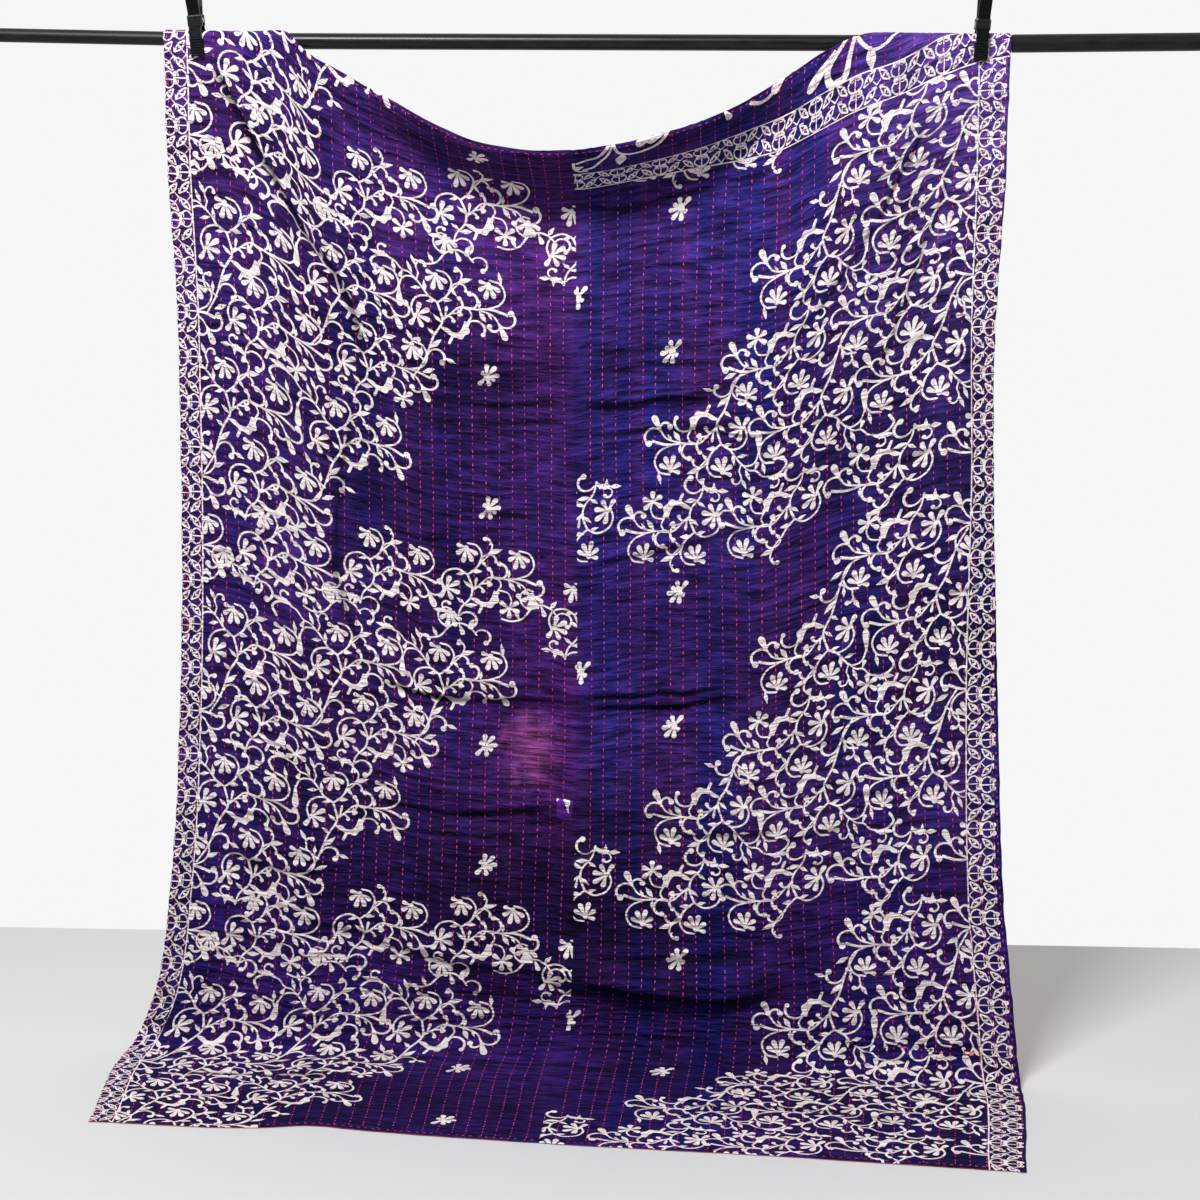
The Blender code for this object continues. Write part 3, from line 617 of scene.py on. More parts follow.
def leaf(x, y, tip_x, tip_y, width, profile=LEAF):
    """A leaf or long bud from its foot to its tip."""
    heading = math.degrees(math.atan2(tip_y - y, tip_x - x))
    return lobe(x, y, heading, math.hypot(tip_x - x, tip_y - y), width, profile)


def hook(x, y, degrees, radius, sweep, width):
    """A short stem that turns in and swells to a round end."""
    n = max(5, int(abs(sweep) / 30))
    t = (np.arange(n) + 0.5) / n
    turn = np.radians(degrees + sweep * t)
    step = math.radians(abs(sweep)) / n * radius * (1.12 - 0.5 * t)
    moves = directions(turn) * step[:, None]
    path = np.array([x, y]) + np.vstack([[0, 0], np.cumsum(moves, 0)])
    return ribbon(path, (0.75 * width, 0.85 * width, 1.1 * width, 2.0 * width, 1.7 * width))


def curl(x, y, middle_x, middle_y, sweep, width, ball=1.0):
    """A stem that winds in round a middle and ends in a ball."""
    t = np.linspace(0, 1, max(6, int(abs(sweep) / 18)))
    start = np.array([x - middle_x, y - middle_y], float)
    reach = np.hypot(*start) * (1 - 0.42 * t**1.6)
    turn = math.atan2(start[1], start[0]) + math.radians(sweep) * t
    path = np.array([middle_x, middle_y]) + reach[:, None] * directions(turn)
    knob = ring(9) * 1.15 * width * ball
    return [ribbon(path, (0.7 * width, 0.95 * width, 1.2 * width, 1.3 * width)), path[-1] + knob]


def comb(width, *places):
    """An arched leaf that widens from its stalk, scalloped along its back."""
    path = smooth_path(places, 5)
    aside = along_and_aside(path)[1]
    t = np.linspace(0, 1, len(path))
    half = width * np.interp(t, (0, 0.3, 0.7, 1.0), (0.14, 0.32, 0.5, 0.34))
    back = half * (1 + 0.30 * np.where(t > 0.3, np.cos(8 * math.pi * t), 0))
    return np.vstack([path + aside * half[:, None], (path - aside * back[:, None])[::-1]])


# Petals of the three flowers: turn from the flower's heading, length, width
FAN = ((57, 22, 8.6), (21, 26, 9.0), (-14, 27, 9.0), (-56, 20, 8.6), (-108, 16, 8.0))
STAR = ((90, 17, 9.4), (28, 17, 9.2), (-36, 19, 8.8), (219, 20, 8.8), (162, 18, 9.2))
WING = ((117, 21, 8.8), (57, 22, 9.0), (167, 23, 9.4), (214, 26, 9.4), (256, 23, 9.4))


def blossom(x, y, degrees, petals):
    out = [np.array([x, y]) + 4.4 * ring(7)]
    for turn, length, width in petals:
        foot = np.array([x, y]) + aim(degrees + turn)
        out.append(lobe(*foot, degrees + turn, length, width, PETAL))
    return out


def vine_unit(low, flowers):
    """One node of the vine with all that grows from it. A low node hangs from a stem above it; the
    others run on from the column before. Of the two flowers below a node, the first `flowers` are
    drawn, counted from the seam side."""
    shapes = [
        # the wing flower in its loop, on the border side
        stem(3.4, 3.2, (0, 0), (17, -9), (37, -2), (45, 16), (40, 34)),
        *blossom(36, 29, 0, WING),
        leaf(3, -3, 20, 1, 6.8),
        # the comb, its stalk and the curls round it
        comb(13.5, (-7, 43), (-24, 52), (-38, 53), (-47, 43), (-50, 28)),
        stem(3.0, 2.8, (-51, 30), (-58, 16), (-53, 5)),
        stem(3.4, 5.0, (-6, 43), (-17, 45), (-25, 55), (-20, 68)),
        *curl(-8, 26, -20, 33, -120, 3.2),
        leaf(-13, 24, -16, 4, 5.4, PETAL),
        # the stem that runs on to the seam side, with its spray
        stem(3.4, 3.0, (-7, 30), (-20, 19), (-36, 4), (-54, 3), (-76, 7), (-96, 15), (-107, 32)),
        leaf(-104, 26, -118, 56, 11.5, PETAL),
        *curl(-105, 26, -95, 32, -195, 3.6, 1.2),
        *curl(-102, 24, -119, 16, 205, 3.6, 1.4),
        stem(5.0, 2.8, (-121, 12), (-102, 5), (-84, 3), (-66, 5)),
        leaf(-71, 8, -83, 27, 8.6),
        leaf(-86, 9, -93, 22, 5.4),
        leaf(-71, 2, -73, -13, 6.4),
        leaf(-34, 7, -40, 20, 10.0, PETAL),
        *curl(-44, 3, -54, -12, 205, 3.8, 1.1),
        *curl(-24, 16, -26, -6, 125, 3.6),
        leaf(-6, -7, -26, -7, 8.4),
        # the stem below the node
        stem(3.4, 3.2, (0, 0), (-12, -9), (-22, -22)),
        *curl(-24, -27, -40, -25, -165, 3.0, 0.9),
        leaf(-36, -41, -61, -49, 9.0),
        leaf(-24, -28, -34, -14, 6.0),
        stem(3.2, 3.0, (-20, -21), (-37, -38), (-43, -56), (-34, -68)),
    ]
    if flowers > 0:
        shapes.append(stem(3.0, 3.4, (-84, 3), (-106, -6), (-116, -24), (-108, -44), (-90, -49)))
        shapes += blossom(-88, -42, 92, FAN)
    if flowers > 1:
        shapes.append(stem(3.4, 3.2, (-19, -18), (-25, -38), (-16, -54), (-1, -57)))
        shapes += blossom(2, -49, 92, FAN)
    if low:
        return [
            *shapes,
            stem(3.0, 3.8, (17, 84), (11, 62), (-5, 43), (-8, 22), (0, 0)),
            *curl(13, 76, -2, 86, -215, 3.8, 1.2),
            comb(10, (15, 82), (24, 74), (40, 71)),
            leaf(34, 71, 35, 86, 6.4),
            leaf(40, 71, 60, 70, 8.4),
            *curl(40, 68, 35, 60, -195, 3.0),
            leaf(4, 57, -18, 55, 8.6),
            leaf(5, 54, 19, 43, 6.6),
            leaf(-7, 24, 7, 11, 6.6),
            *curl(-38, -56, -32, -62, 150, 3.0, 1.2),
            stem(2.8, 2.8, (-54, 26), (-70, 30), (-76, 44), (-73, 54)),
            *blossom(-72, 58, 0, STAR),
        ]
    return [
        *shapes,
        # the stem that brings it down from the row above
        stem(3.0, 3.8, (42, 138), (22, 105), (7, 60), (-8, 32), (0, 0)),
        *curl(17, 96, 0, 99, -205, 3.8, 1.2),
        leaf(-14, 97, -32, 104, 7.6),
        stem(2.8, 3.0, (20, 108), (30, 101), (42, 92), (43, 82)),
        *curl(43, 84, 34, 78, -130, 3.4, 1.1),
        leaf(44, 76, 55, 58, 8.0),
        leaf(28, 100, 28, 82, 6.4),
        leaf(-6, 34, 8, 21, 6.6),
        leaf(5, 58, 18, 47, 6.6),
        leaf(13, 82, -7, 64, 9.0),
        leaf(26, 128, 4, 118, 8.6),
        *curl(-52, 29, -66, 45, -150, 3.6, 1.0),
        leaf(-110, -44, -106, -66, 7.0),
        leaf(-32, -68, -34, -58, 10.0, PETAL),
        # the stems on the border side, below
        stem(3.4, 3.0, (0, 0), (16, -10), (27, -25), (40, -37), (58, -33), (66, -14)),
        leaf(66, -20, 65, 20, 11.5, PETAL),
        leaf(28, -21, 46, -18, 7.2),
        leaf(20, -17, 22, -37, 6.6),
        stem(3.0, 3.0, (34, -32), (46, -44), (60, -47), (72, -59), (90, -64)),
        leaf(58, -46, 64, -32, 7.0, PETAL),
        stem(2.8, 5.0, (84, -63), (101, -60), (113, -48), (106, -34)),
        comb(9, (78, -60), (90, -66), (98, -64)),
        leaf(95, -64, 114, -67, 7.6),
        *curl(95, -66, 90, -75, -180, 2.8),
        stem(2.8, 3.0, (35, -34), (31, -46), (35, -58), (30, -68)),
        *curl(32, -64, 24, -62, -170, 2.8),
        leaf(42, -44, 50, -65, 7.0),
        leaf(35, -59, 43, -78, 7.0),
    ]


BLOCK_REPEAT = 695.0  # the stepped block of vine repeats down each panel
BLOCK_NODES = (
    # u, v below the block's top, is it a low node, flowers below it on the right panel, how much
    # further it lies on the left panel: the block widens down its height
    (-97, -31, True, 2, 0),
    (101, -11, True, 2, 0),
    (49, 115, False, 2, 0),
    (254, 134, False, 2, 0),
    (-97, 251, True, 2, 0),
    (105, 271, True, 2, 0),
    (306, 291, True, 2, 0),
    (60, 386, False, 2, 0),
    (255, 410, False, 2, 5),
    (449, 420, False, 2, 0),
    (-85, 545, True, 0, 0),
    (117, 561, True, 0, 10),
    (314, 574, True, 1, 30),
    (500, 577, True, 2, 38),
    (700, 555, True, 2, 0),
)
UNIT_STRETCH = (1.07, 1.03)  # motifs are drawn as they hang; the flat cloth is a little larger


def vine_block(top, on_left):
    out = []
    for u, v, low, flowers, further in BLOCK_NODES:
        for shape in vine_unit(low, 2 if on_left else flowers):
            out.append(np.array([u, top + v + further * on_left]) - shape * UNIT_STRETCH)
    return out


def spray(u, v):
    """A small spray that fills the left panel's widest row, up to the seam."""
    shapes = [
        stem(3.2, 3.2, (56, 30), (38, 34), (18, 27), (4, 9), (-14, 0), (-32, 6), (-44, 20)),
        *curl(-42, 16, -55, 26, -200, 3.4, 1.2),
        leaf(-14, 2, -21, 21, 9.0, PETAL),
        leaf(-30, 5, -42, -10, 8.0),
        stem(3.0, 3.2, (6, 11), (20, 0), (22, -16), (11, -26), (0, -24)),
        *blossom(2, -17, 92, FAN),
        leaf(24, 30, 33, 12, 7.0),
    ]
    return [np.array([u, v]) - shape * UNIT_STRETCH for shape in shapes]


HAND = (
    # foot's x and y, heading, length, width of each petal
    (7, 0, 50, 23, 9.0),
    (5, 0, 100, 19, 9.0),
    (4, 0, 150, 15, 8.6),
    (5, 0, 192, 23, 9.0),
    (5, -2, 228, 25, 9.0),
    (6, -3, 268, 21, 9.4),
    (6, -2, 322, 12, 9.0),
)


def sprig(u, v):
    """The small loose flower between the blocks, like an open hand."""
    shapes = [np.array([5.0, 0.0]) + 6.4 * (ring(8) * (1.0, 1.4))]
    shapes += [lobe(*petal, PETAL) for petal in HAND]
    return [np.array([u, v]) - shape for shape in shapes]


BORDER_REPEAT = BLOCK_REPEAT / 9
OVAL = (13.5, 10.2)  # half its length and half its width
OVAL_LINE, SPLIT_LINE = (2.6, 2.6), (2.3, 2.3)  # widths at either end
LEAVES_MIDDLE = 38.6  # from the middle of an oval to where its two leaves meet


def ring_half(turn):
    """Half an oval's outline, as a stroke."""
    turns = np.radians(np.linspace(turn + 4, turn + 176, 9))
    return ribbon(directions(turns) * OVAL, OVAL_LINE)


def bar(start, end, width):
    return ribbon(np.array([start, end], float), (width, width))


def border_unit():
    """One repeat of the border, along x, in a strip 22 wide round y = 0: an oval split across with a
    curl in each half, then two outlined leaves that lean together."""
    split = ribbon(np.array([(0, -11.5), (0, 0), (0, 11.5)], float), SPLIT_LINE)
    shapes = [ring_half(0), ring_half(180), split]
    for side in (-1, 1):
        shapes.append(hook(side * 2.6, 6.0, -90 + side * 50, 4.4, side * 260, 2.0))
        for way in (-1, 1):
            foot = np.array([LEAVES_MIDDLE + way * 23.5, -8.5])
            tip = np.array([LEAVES_MIDDLE + way * 3.5, 9.5])
            run = tip - foot
            aside = np.array([-run[1], run[0]]) / np.linalg.norm(run)
            middle = (foot + tip) / 2 + side * 5.0 * aside
            shapes.append(ribbon(smooth_path((foot, middle, tip), 4), (2.5, 2.5)))
    x = LEAVES_MIDDLE
    for way in (-1, 1):
        shapes.append(hook(x + way * 17.5, -3.0, 90 - way * 35, 3.6, way * 250, 2.0))
        shapes.append(bar((x, -10.5), (x + way * 7.0, -4.0), 2.2))
        shapes.append(bar((x + way * 3.0, 10.5), (x + way * 11.0, 10.6), 2.2))
    return shapes


# The strip of border across the right panel's top: across, its top line, its bottom line
CROSS_BORDER = (
    (0.745, 0.085, 0.143),
    (0.900, 0.083, 0.141),
    (1.080, 0.070, 0.126),
    (1.210, 0.070, 0.130),
    (1.330, 0.066, 0.122),
    (1.420, 0.062, 0.124),
    (1.480, 0.057, 0.114),
    (1.520, 0.055, 0.112),
)


def cross_line(across, share):
    """Place down the cloth of a line in the cross border, from its top line to its bottom line."""
    top = np.interp(across, column(CROSS_BORDER, 0), column(CROSS_BORDER, 1))
    bottom = np.interp(across, column(CROSS_BORDER, 0), column(CROSS_BORDER, 2))
    return top + share * (bottom - top)


# The cut ends of larger flowers above the cross border, in millimetres on the cloth
TOP_STEMS = (
    # width at start, width at end, places (across, down)
    (5.0, 6.5, ((1345, -4), (1330, 14), (1312, 30), (1290, 34), (1272, 18), (1262, 0))),
    (6.5, 16.0, ((1262, -6), (1250, 30), (1246, 52), (1238, 64), (1226, 66))),
    (16.0, 6.0, ((1240, 66), (1224, 70), (1212, 56), (1210, 36), (1226, 16), (1248, -4))),
    (5.0, 7.0, ((1120, -4), (1108, 6), (1096, 16), (1078, 18), (1060, 8))),
    (5.0, 6.0, ((752, 40), (770, 30), (790, 24), (806, 6), (812, -6))),
    (4.5, 6.0, ((818, -4), (806, 24), (792, 44), (780, 60), (764, 66))),
    (5.0, 5.0, ((748, 36), (748, 58), (756, 72), (770, 74))),
    (5.0, 6.5, ((816, -4), (826, 20), (846, 32), (872, 30), (896, 18), (912, -2))),
)
TOP_LEAVES = (
    # across, down, heading, length, width, profile
    (1286, 28, 275, 40, 17, LEAF),
    (1224, 8, 222, 70, 20, PETAL),
    (1126, -2, 210, 30, 17, PETAL),
    (832, 26, 262, 42, 19, LEAF),
    (908, -2, 196, 36, 18, PETAL),
    (884, 0, 200, 30, 16, PETAL),
    (764, 52, 205, 18, 16, PETAL),
    (1010, -2, 300, 24, 12, PETAL),
)
RIGHT_BORDER_LINE = 1.4650
RIGHT_BORDER_DRIFT = (
    # down, how far outwards the print lies there: the hem was turned in unevenly
    (0.10, 0.003),
    (0.46, 0.009),
    (0.75, 0.014),
    (1.15, -0.003),
    (2.20, -0.003),
)
LEFT_BORDER_LINE = 0.0400
LINE_WIDTH = 2.2
RIGHT_BLOCKS = (-480.0, 215.0, 910.0, 1605.0)  # v of each block's first node
LEFT_BLOCKS = (93.0, 788.0, 1483.0, 2178.0)
RIGHT_SPRIGS = ((535, 203), (545, 458), (535, 898), (545, 1153), (535, 1593), (545, 1848))
LEFT_SPRIGS = ((545, 48), (545, 495), (545, 743), (540, 1200), (545, 1438), (545, 1885), (545, 2133))
LEFT_SPRAYS = ((622, 566), (470, 522), (250, 520), (42, 515))  # u, v on each block
SEAM_SPRIGS = ((722, 340), (718, 1035), (722, 1730))  # cut through by the seam
DOWN_REPEATS = range(-1, int(CLOTH_LENGTH * 1000 / BORDER_REPEAT) + 2)
DRIFT_REACH = 0.25  # the drift fades out over this distance inwards
LOW_BORDER_WIDER = 0.16  # share by which the right border is wider low down
LOW_BORDER = (0.75, 0.40)  # it widens from this far down, over this length
BORDER_ROWS = (11.6, 21.6)  # first row's middle from the line, and the next row's from the first's
BORDER_FLATTER = 0.98
RIGHT_BORDER_START = 163  # down to the start of a repeat, in millimetres
CROSS_START, CROSS_SHORTER = 0.748, 0.95  # across, and a repeat's length as a share of the usual


def right_place(inwards, down):
    """Place across the cloth at a distance inwards from the right panel's drifting border line."""
    drift = smooth_table(down, RIGHT_BORDER_DRIFT, 1)
    return RIGHT_BORDER_LINE - inwards + drift * (1 - ease(inwards / DRIFT_REACH))


def border_outlines(repeats):
    """Every outline along a border's repeats and two rows, as (repeat, row, x, y)."""
    unit = border_unit()
    return [(k, row, s[:, 0], s[:, 1]) for k in repeats for row in (0, 1) for s in unit]


def border_reach(row, y):
    """Distance out from the border's line, in millimetres."""
    middle, step = BORDER_ROWS
    return middle + step * row + y * BORDER_FLATTER


def thin_line(middle, run):
    """The outline of a thin printed line, as its places beside the middle and its places along."""
    half = LINE_WIDTH / 2000
    return np.concatenate([middle - half, (middle + half)[::-1]]), np.concatenate([run, run[::-1]])


def right_print():
    """Outlines of the right panel's print as (zone, places on the cloth) pairs."""
    shapes = []
    for top in RIGHT_BLOCKS:
        for s in vine_block(top, False):
            shapes.append(("field", (right_place(s[:, 0] / 1000, s[:, 1] / 1000), s[:, 1] / 1000)))
    for u, v in RIGHT_SPRIGS + SEAM_SPRIGS:
        for s in sprig(u, v):
            shapes.append(("field", (RIGHT_BORDER_LINE - s[:, 0] / 1000, s[:, 1] / 1000)))
    for k, row, x, y in border_outlines(DOWN_REPEATS):
        down = (RIGHT_BORDER_START + (k - 2) * BORDER_REPEAT + x + 3 * row) / 1000
        wider = 1 + LOW_BORDER_WIDER * ease((down - LOW_BORDER[0]) / LOW_BORDER[1])
        shapes.append(("strip", (right_place(-border_reach(row, y) * wider / 1000, down), down)))
    for k, row, x, y in border_outlines(range(11)):
        along = k * BORDER_REPEAT * CROSS_SHORTER + x * CROSS_SHORTER + 2 * row
        across = CROSS_START + along / 1000
        shapes.append(("cross", (across, cross_line(across, 0.5 * row + 0.25 - 0.021 * y))))
    for start_width, end_width, places in TOP_STEMS:
        path = smooth_path(np.array(places) / 1000, 4)
        s = ribbon(path * 1000, (start_width, end_width)) / 1000
        shapes.append(("top", (s[:, 0], s[:, 1])))
    for across, down, *leaf_shape in TOP_LEAVES:
        s = lobe(0, 0, *leaf_shape) / 1000
        shapes.append(("top", (across / 1000 + s[:, 0], down / 1000 - s[:, 1])))
    down = np.linspace(cross_line(RIGHT_BORDER_LINE, 1.0), CLOTH_LENGTH + 0.01, 40)
    shapes.append(("line", thin_line(right_place(0.0, down), down)))
    run = np.linspace(LEFT_PANEL_WIDTH - 0.01, QUILT_WIDTH + 0.01, 60)
    for share in (0.0, 1.0):
        down, across = thin_line(cross_line(run, share), run)
        shapes.append(("line", (across, down)))
    return shapes


def right_zone(across, down):
    zone = np.where(across > right_place(0.0, down), "strip", "field")
    zone = np.where(down < cross_line(across, 1.0), "cross", zone)
    return np.where(down < cross_line(across, 0.0), "top", zone)


def left_print():
    """The left panel's print, which is the same cloth turned round."""
    shapes = []
    for top in LEFT_BLOCKS:
        for s in vine_block(0.0, True) + [shape for place in LEFT_SPRAYS for shape in spray(*place)]:
            shapes.append(("field", (LEFT_BORDER_LINE + s[:, 0] / 1000, (top - s[:, 1]) / 1000)))
    for u, v in LEFT_SPRIGS:
        for s in sprig(0.0, 0.0):
            shapes.append(("field", (LEFT_BORDER_LINE + (u + s[:, 0]) / 1000, (v - s[:, 1]) / 1000)))
    for k, row, x, y in border_outlines(DOWN_REPEATS):
        across = LEFT_BORDER_LINE - border_reach(row, y) / 1000
        shapes.append(("strip", (across, (k * BORDER_REPEAT - x + 3 * row) / 1000)))
    half = LINE_WIDTH / 2000
    ends = np.array([-0.01, CLOTH_LENGTH + 0.01])
    box = (LEFT_BORDER_LINE + half * np.array([-1, 1, 1, -1]), ends[[0, 0, 1, 1]])
    return [*shapes, ("line", box)]


def left_zone(across, down):
    return np.where(across < LEFT_BORDER_LINE, "strip", "field")


# ---------------------------------------------------------------- meshes of the cloth

GRID_ACROSS = 0.0160
GRID_DOWN = 0.0068
CREASE_SHADE_MASK = "folded"  # how deep in a crease a point lies, for the painted shade in the creases
FULLY_FOLDED = 0.0035
EDGE_CLEAR = 0.006  # the grid starts this far from an edge
CREASE_CLEAR = (0.004, 0.0005)  # lines along creases keep this far from a band's sides and ends
BAND_ROWS = 19
SLACK = 0.00054  # an outline's point that bends it less is left out
EDGE_STEPS = (0.0, 0.0006, 0.0014, 0.0024)  # the turned edge is rounded through these


def grid_places(low, high, spacing):
    """Places from one edge to the other, close together near the edges."""
    count = round((high - low - 2 * EDGE_CLEAR) / spacing) + 1
    inner = np.linspace(low + EDGE_CLEAR, high - EDGE_CLEAR, count)
    steps = np.array(EDGE_STEPS)
    return np.concatenate([low + steps, inner, high - steps[::-1]])


def new_mesh(name, points, faces, finishes, kinds):
    """A smooth mesh with a kind, the place of its finish, for each face."""
    mesh = bpy.data.meshes.new(name)
    mesh.from_pydata(points.tolist(), [], faces)
    mesh.update()
    for finish in finishes:
        mesh.materials.append(finish)
    mesh.polygons.foreach_set("material_index", kinds)
    mesh.shade_smooth()
    return mesh


def map_flat(mesh, across, down):
    """Gives a mesh its flat place on the cloth as UVs."""
    corners = np.empty(len(mesh.loops), int)
    mesh.loops.foreach_get("vertex_index", corners)
    flat = np.stack([across, CLOTH_LENGTH - down], -1)[corners] / CLOTH_LENGTH
    mesh.uv_layers.new(name="OFBake").data.foreach_set("uv", np.clip(flat, 0, 1).ravel())


def cloth_mesh(name, across, down, faces, height, edges, finishes, kinds):
    """A mesh of a panel's face (height above 0) or back."""
    points, out = shaded_surface(across, down, height, edges)
    mesh = new_mesh(name, points, faces.tolist(), finishes, kinds)
    map_flat(mesh, across, down)
    # how deep each point lies in a crease, which the finishes use to paint shade in the creases
    folded = np.clip(-crease_relief(across, down) / FULLY_FOLDED, 0, 1)
    mesh.attributes.new(CREASE_SHADE_MASK, "FLOAT", "POINT").data.foreach_set("value", folded)
    mesh.normals_split_custom_set_from_vertices(out.tolist())
    return mesh


def plainer(outline):
    """An outline turned counter-clockwise, without the points that hardly bend it."""
    following = np.roll(outline, -1, axis=0)
    if (outline[:, 0] * following[:, 1] - outline[:, 1] * following[:, 0]).sum() < 0:
        outline = outline[::-1]
    for turn in (0, 1):
        before, after = np.roll(outline, 1, axis=0), np.roll(outline, -1, axis=0)
        chord, arm = after - before, outline - before
        length = np.maximum(np.linalg.norm(chord, axis=1), 1e-9)
        off = np.abs(chord[:, 0] * arm[:, 1] - chord[:, 1] * arm[:, 0]) / length
        drop = (off < SLACK) & (np.arange(len(outline)) % 2 == turn)
        outline = outline[~drop]
    return outline


def cut_band(columns, rows, outlines, extra):
    """Triangles of one band of a panel, cut along the outlines that reach it."""
    low, high, top, bottom = columns[0], columns[-1], rows[0], rows[-1]
    grid = np.stack(np.meshgrid(columns, rows), -1).reshape(-1, 2)
    first, last = np.array([low, top]) + CREASE_CLEAR, np.array([high, bottom]) - CREASE_CLEAR
    grid = np.concatenate([grid, extra[((extra > first) & (extra < last)).all(axis=1)]])
    reaches = [(outline[:, 1].min(), outline[:, 1].max()) for outline in outlines]
    near = [k for k, (start, end) in enumerate(reaches) if end > top and start < bottom]
    band_edge = np.array([(low, top), (high, top), (high, bottom), (low, bottom)])
    points = np.concatenate([band_edge, *(outlines[k] for k in near), grid])
    loops, start = [list(range(4))], 4
    for k in near:
        loops.append(list(range(start, start + len(outlines[k]))))
        start += len(outlines[k])
    made = delaunay_2d_cdt([Vector(p) for p in points.tolist()], [], loops, 0, 1e-6, True)
    places, triangles, owned = made[0], made[2], made[5]
    kept = [f for f, owner in enumerate(owned) if 0 in owner]
    owners = [[near[k - 1] for k in owned[f] if k > 0] for f in kept]
    return np.array([tuple(p) for p in places]), np.array([triangles[f] for f in kept]), owners


def cut_panel(low, high, outlines, kinds_of):
    """Places and triangles of a whole panel, its creases and the outlines on it followed.
    `kinds_of` picks each triangle's finish from its middle and the outlines that it lies in."""
    columns, rows = grid_places(low, high, GRID_ACROSS), grid_places(0.0, CLOTH_LENGTH, GRID_DOWN)
    extra = crease_places()
    places, triangles, kinds = [], [], []
    for start in range(0, len(rows) - 1, BAND_ROWS):
        band_rows = rows[start : start + BAND_ROWS + 1]
        band_places, band, owners = cut_band(columns, band_rows, outlines, extra)
        middles = band_places[band].mean(axis=1)
        kinds += kinds_of(middles, owners)
        triangles.append(band + sum(map(len, places)))
        places.append(band_places)
    places, joined = np.unique(np.round(np.concatenate(places), 7), axis=0, return_inverse=True)
    # the triangles come counter-clockwise in (across, down), which faces into the cloth
    triangles = joined.reshape(-1)[np.concatenate(triangles)][:, ::-1]
    used, triangles = np.unique(triangles, return_inverse=True)
    triangles = triangles.reshape(-1, 3)
    whole = (triangles != np.roll(triangles, 1, axis=1)).all(axis=1)
    across = np.clip(places[used, 0], low, high)
    down = np.clip(places[used, 1], 0, CLOTH_LENGTH)
    return across, down, triangles[whole], np.array(kinds, int)[whole]


def printed_face(name, low, high, shapes, zone_of, finishes):
    """A panel's face, cut along every outline of its print. The print takes the second finish."""
    outlines, zones = [], []
    for zone, (across, down) in shapes:
        if across.max() > low and across.min() < high and down.max() > 0 and down.min() < CLOTH_LENGTH:
            outlines.append(plainer(np.stack([across, down], -1)))
            zones.append(zone)

    def is_printed(middles, owners):
        here = zone_of(middles[:, 0], middles[:, 1])
        return [any(zones[k] in (zone, "line") for k in owner) for zone, owner in zip(here, owners)]

    across, down, triangles, kinds = cut_panel(low, high, outlines, is_printed)
    return cloth_mesh(name, across, down, triangles, QUILT_THICK / 2, (low, high), finishes, kinds)


BACK_STRIP = (0.700, 0.780)  # a strip of another cloth runs down the back between these
BACK_STRIP_STEP = 0.006


def backing(name, low, high, finishes):
    """A panel's back, which shares the face's edges: one cloth, the strip and another cloth."""
    down = np.arange(-BACK_STRIP_STEP, CLOTH_LENGTH + 2 * BACK_STRIP_STEP, BACK_STRIP_STEP)
    sides = [np.stack([np.full(len(down), across), down], 1) for across in BACK_STRIP]
    strip = np.concatenate([sides[1], sides[0][::-1]])

    def cloth_at(middles, owners):
        return [1 if owner else 2 * (middle[0] > BACK_STRIP[0]) for middle, owner in zip(middles, owners)]

    across, down, triangles, kinds = cut_panel(low, high, [strip], cloth_at)
    turned = triangles[:, ::-1]
    return cloth_mesh(name, across, down, turned, -QUILT_THICK / 2, (low, high), finishes, kinds)


def add_piece(mesh):
    """Places a mesh as a piece of its own name that rides the body."""
    piece = bpy.data.objects.new(mesh.name, mesh)
    bpy.context.scene.collection.objects.link(piece)
    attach(piece, "root")
    return piece


# ---------------------------------------------------------------- finishes

BLACK, WHITE = (0, 0, 0), (1, 1, 1)


def grey(share):
    return (share,) * 3


def scaled(colour, share):
    return tuple(min(1.0, share * c) for c in colour)


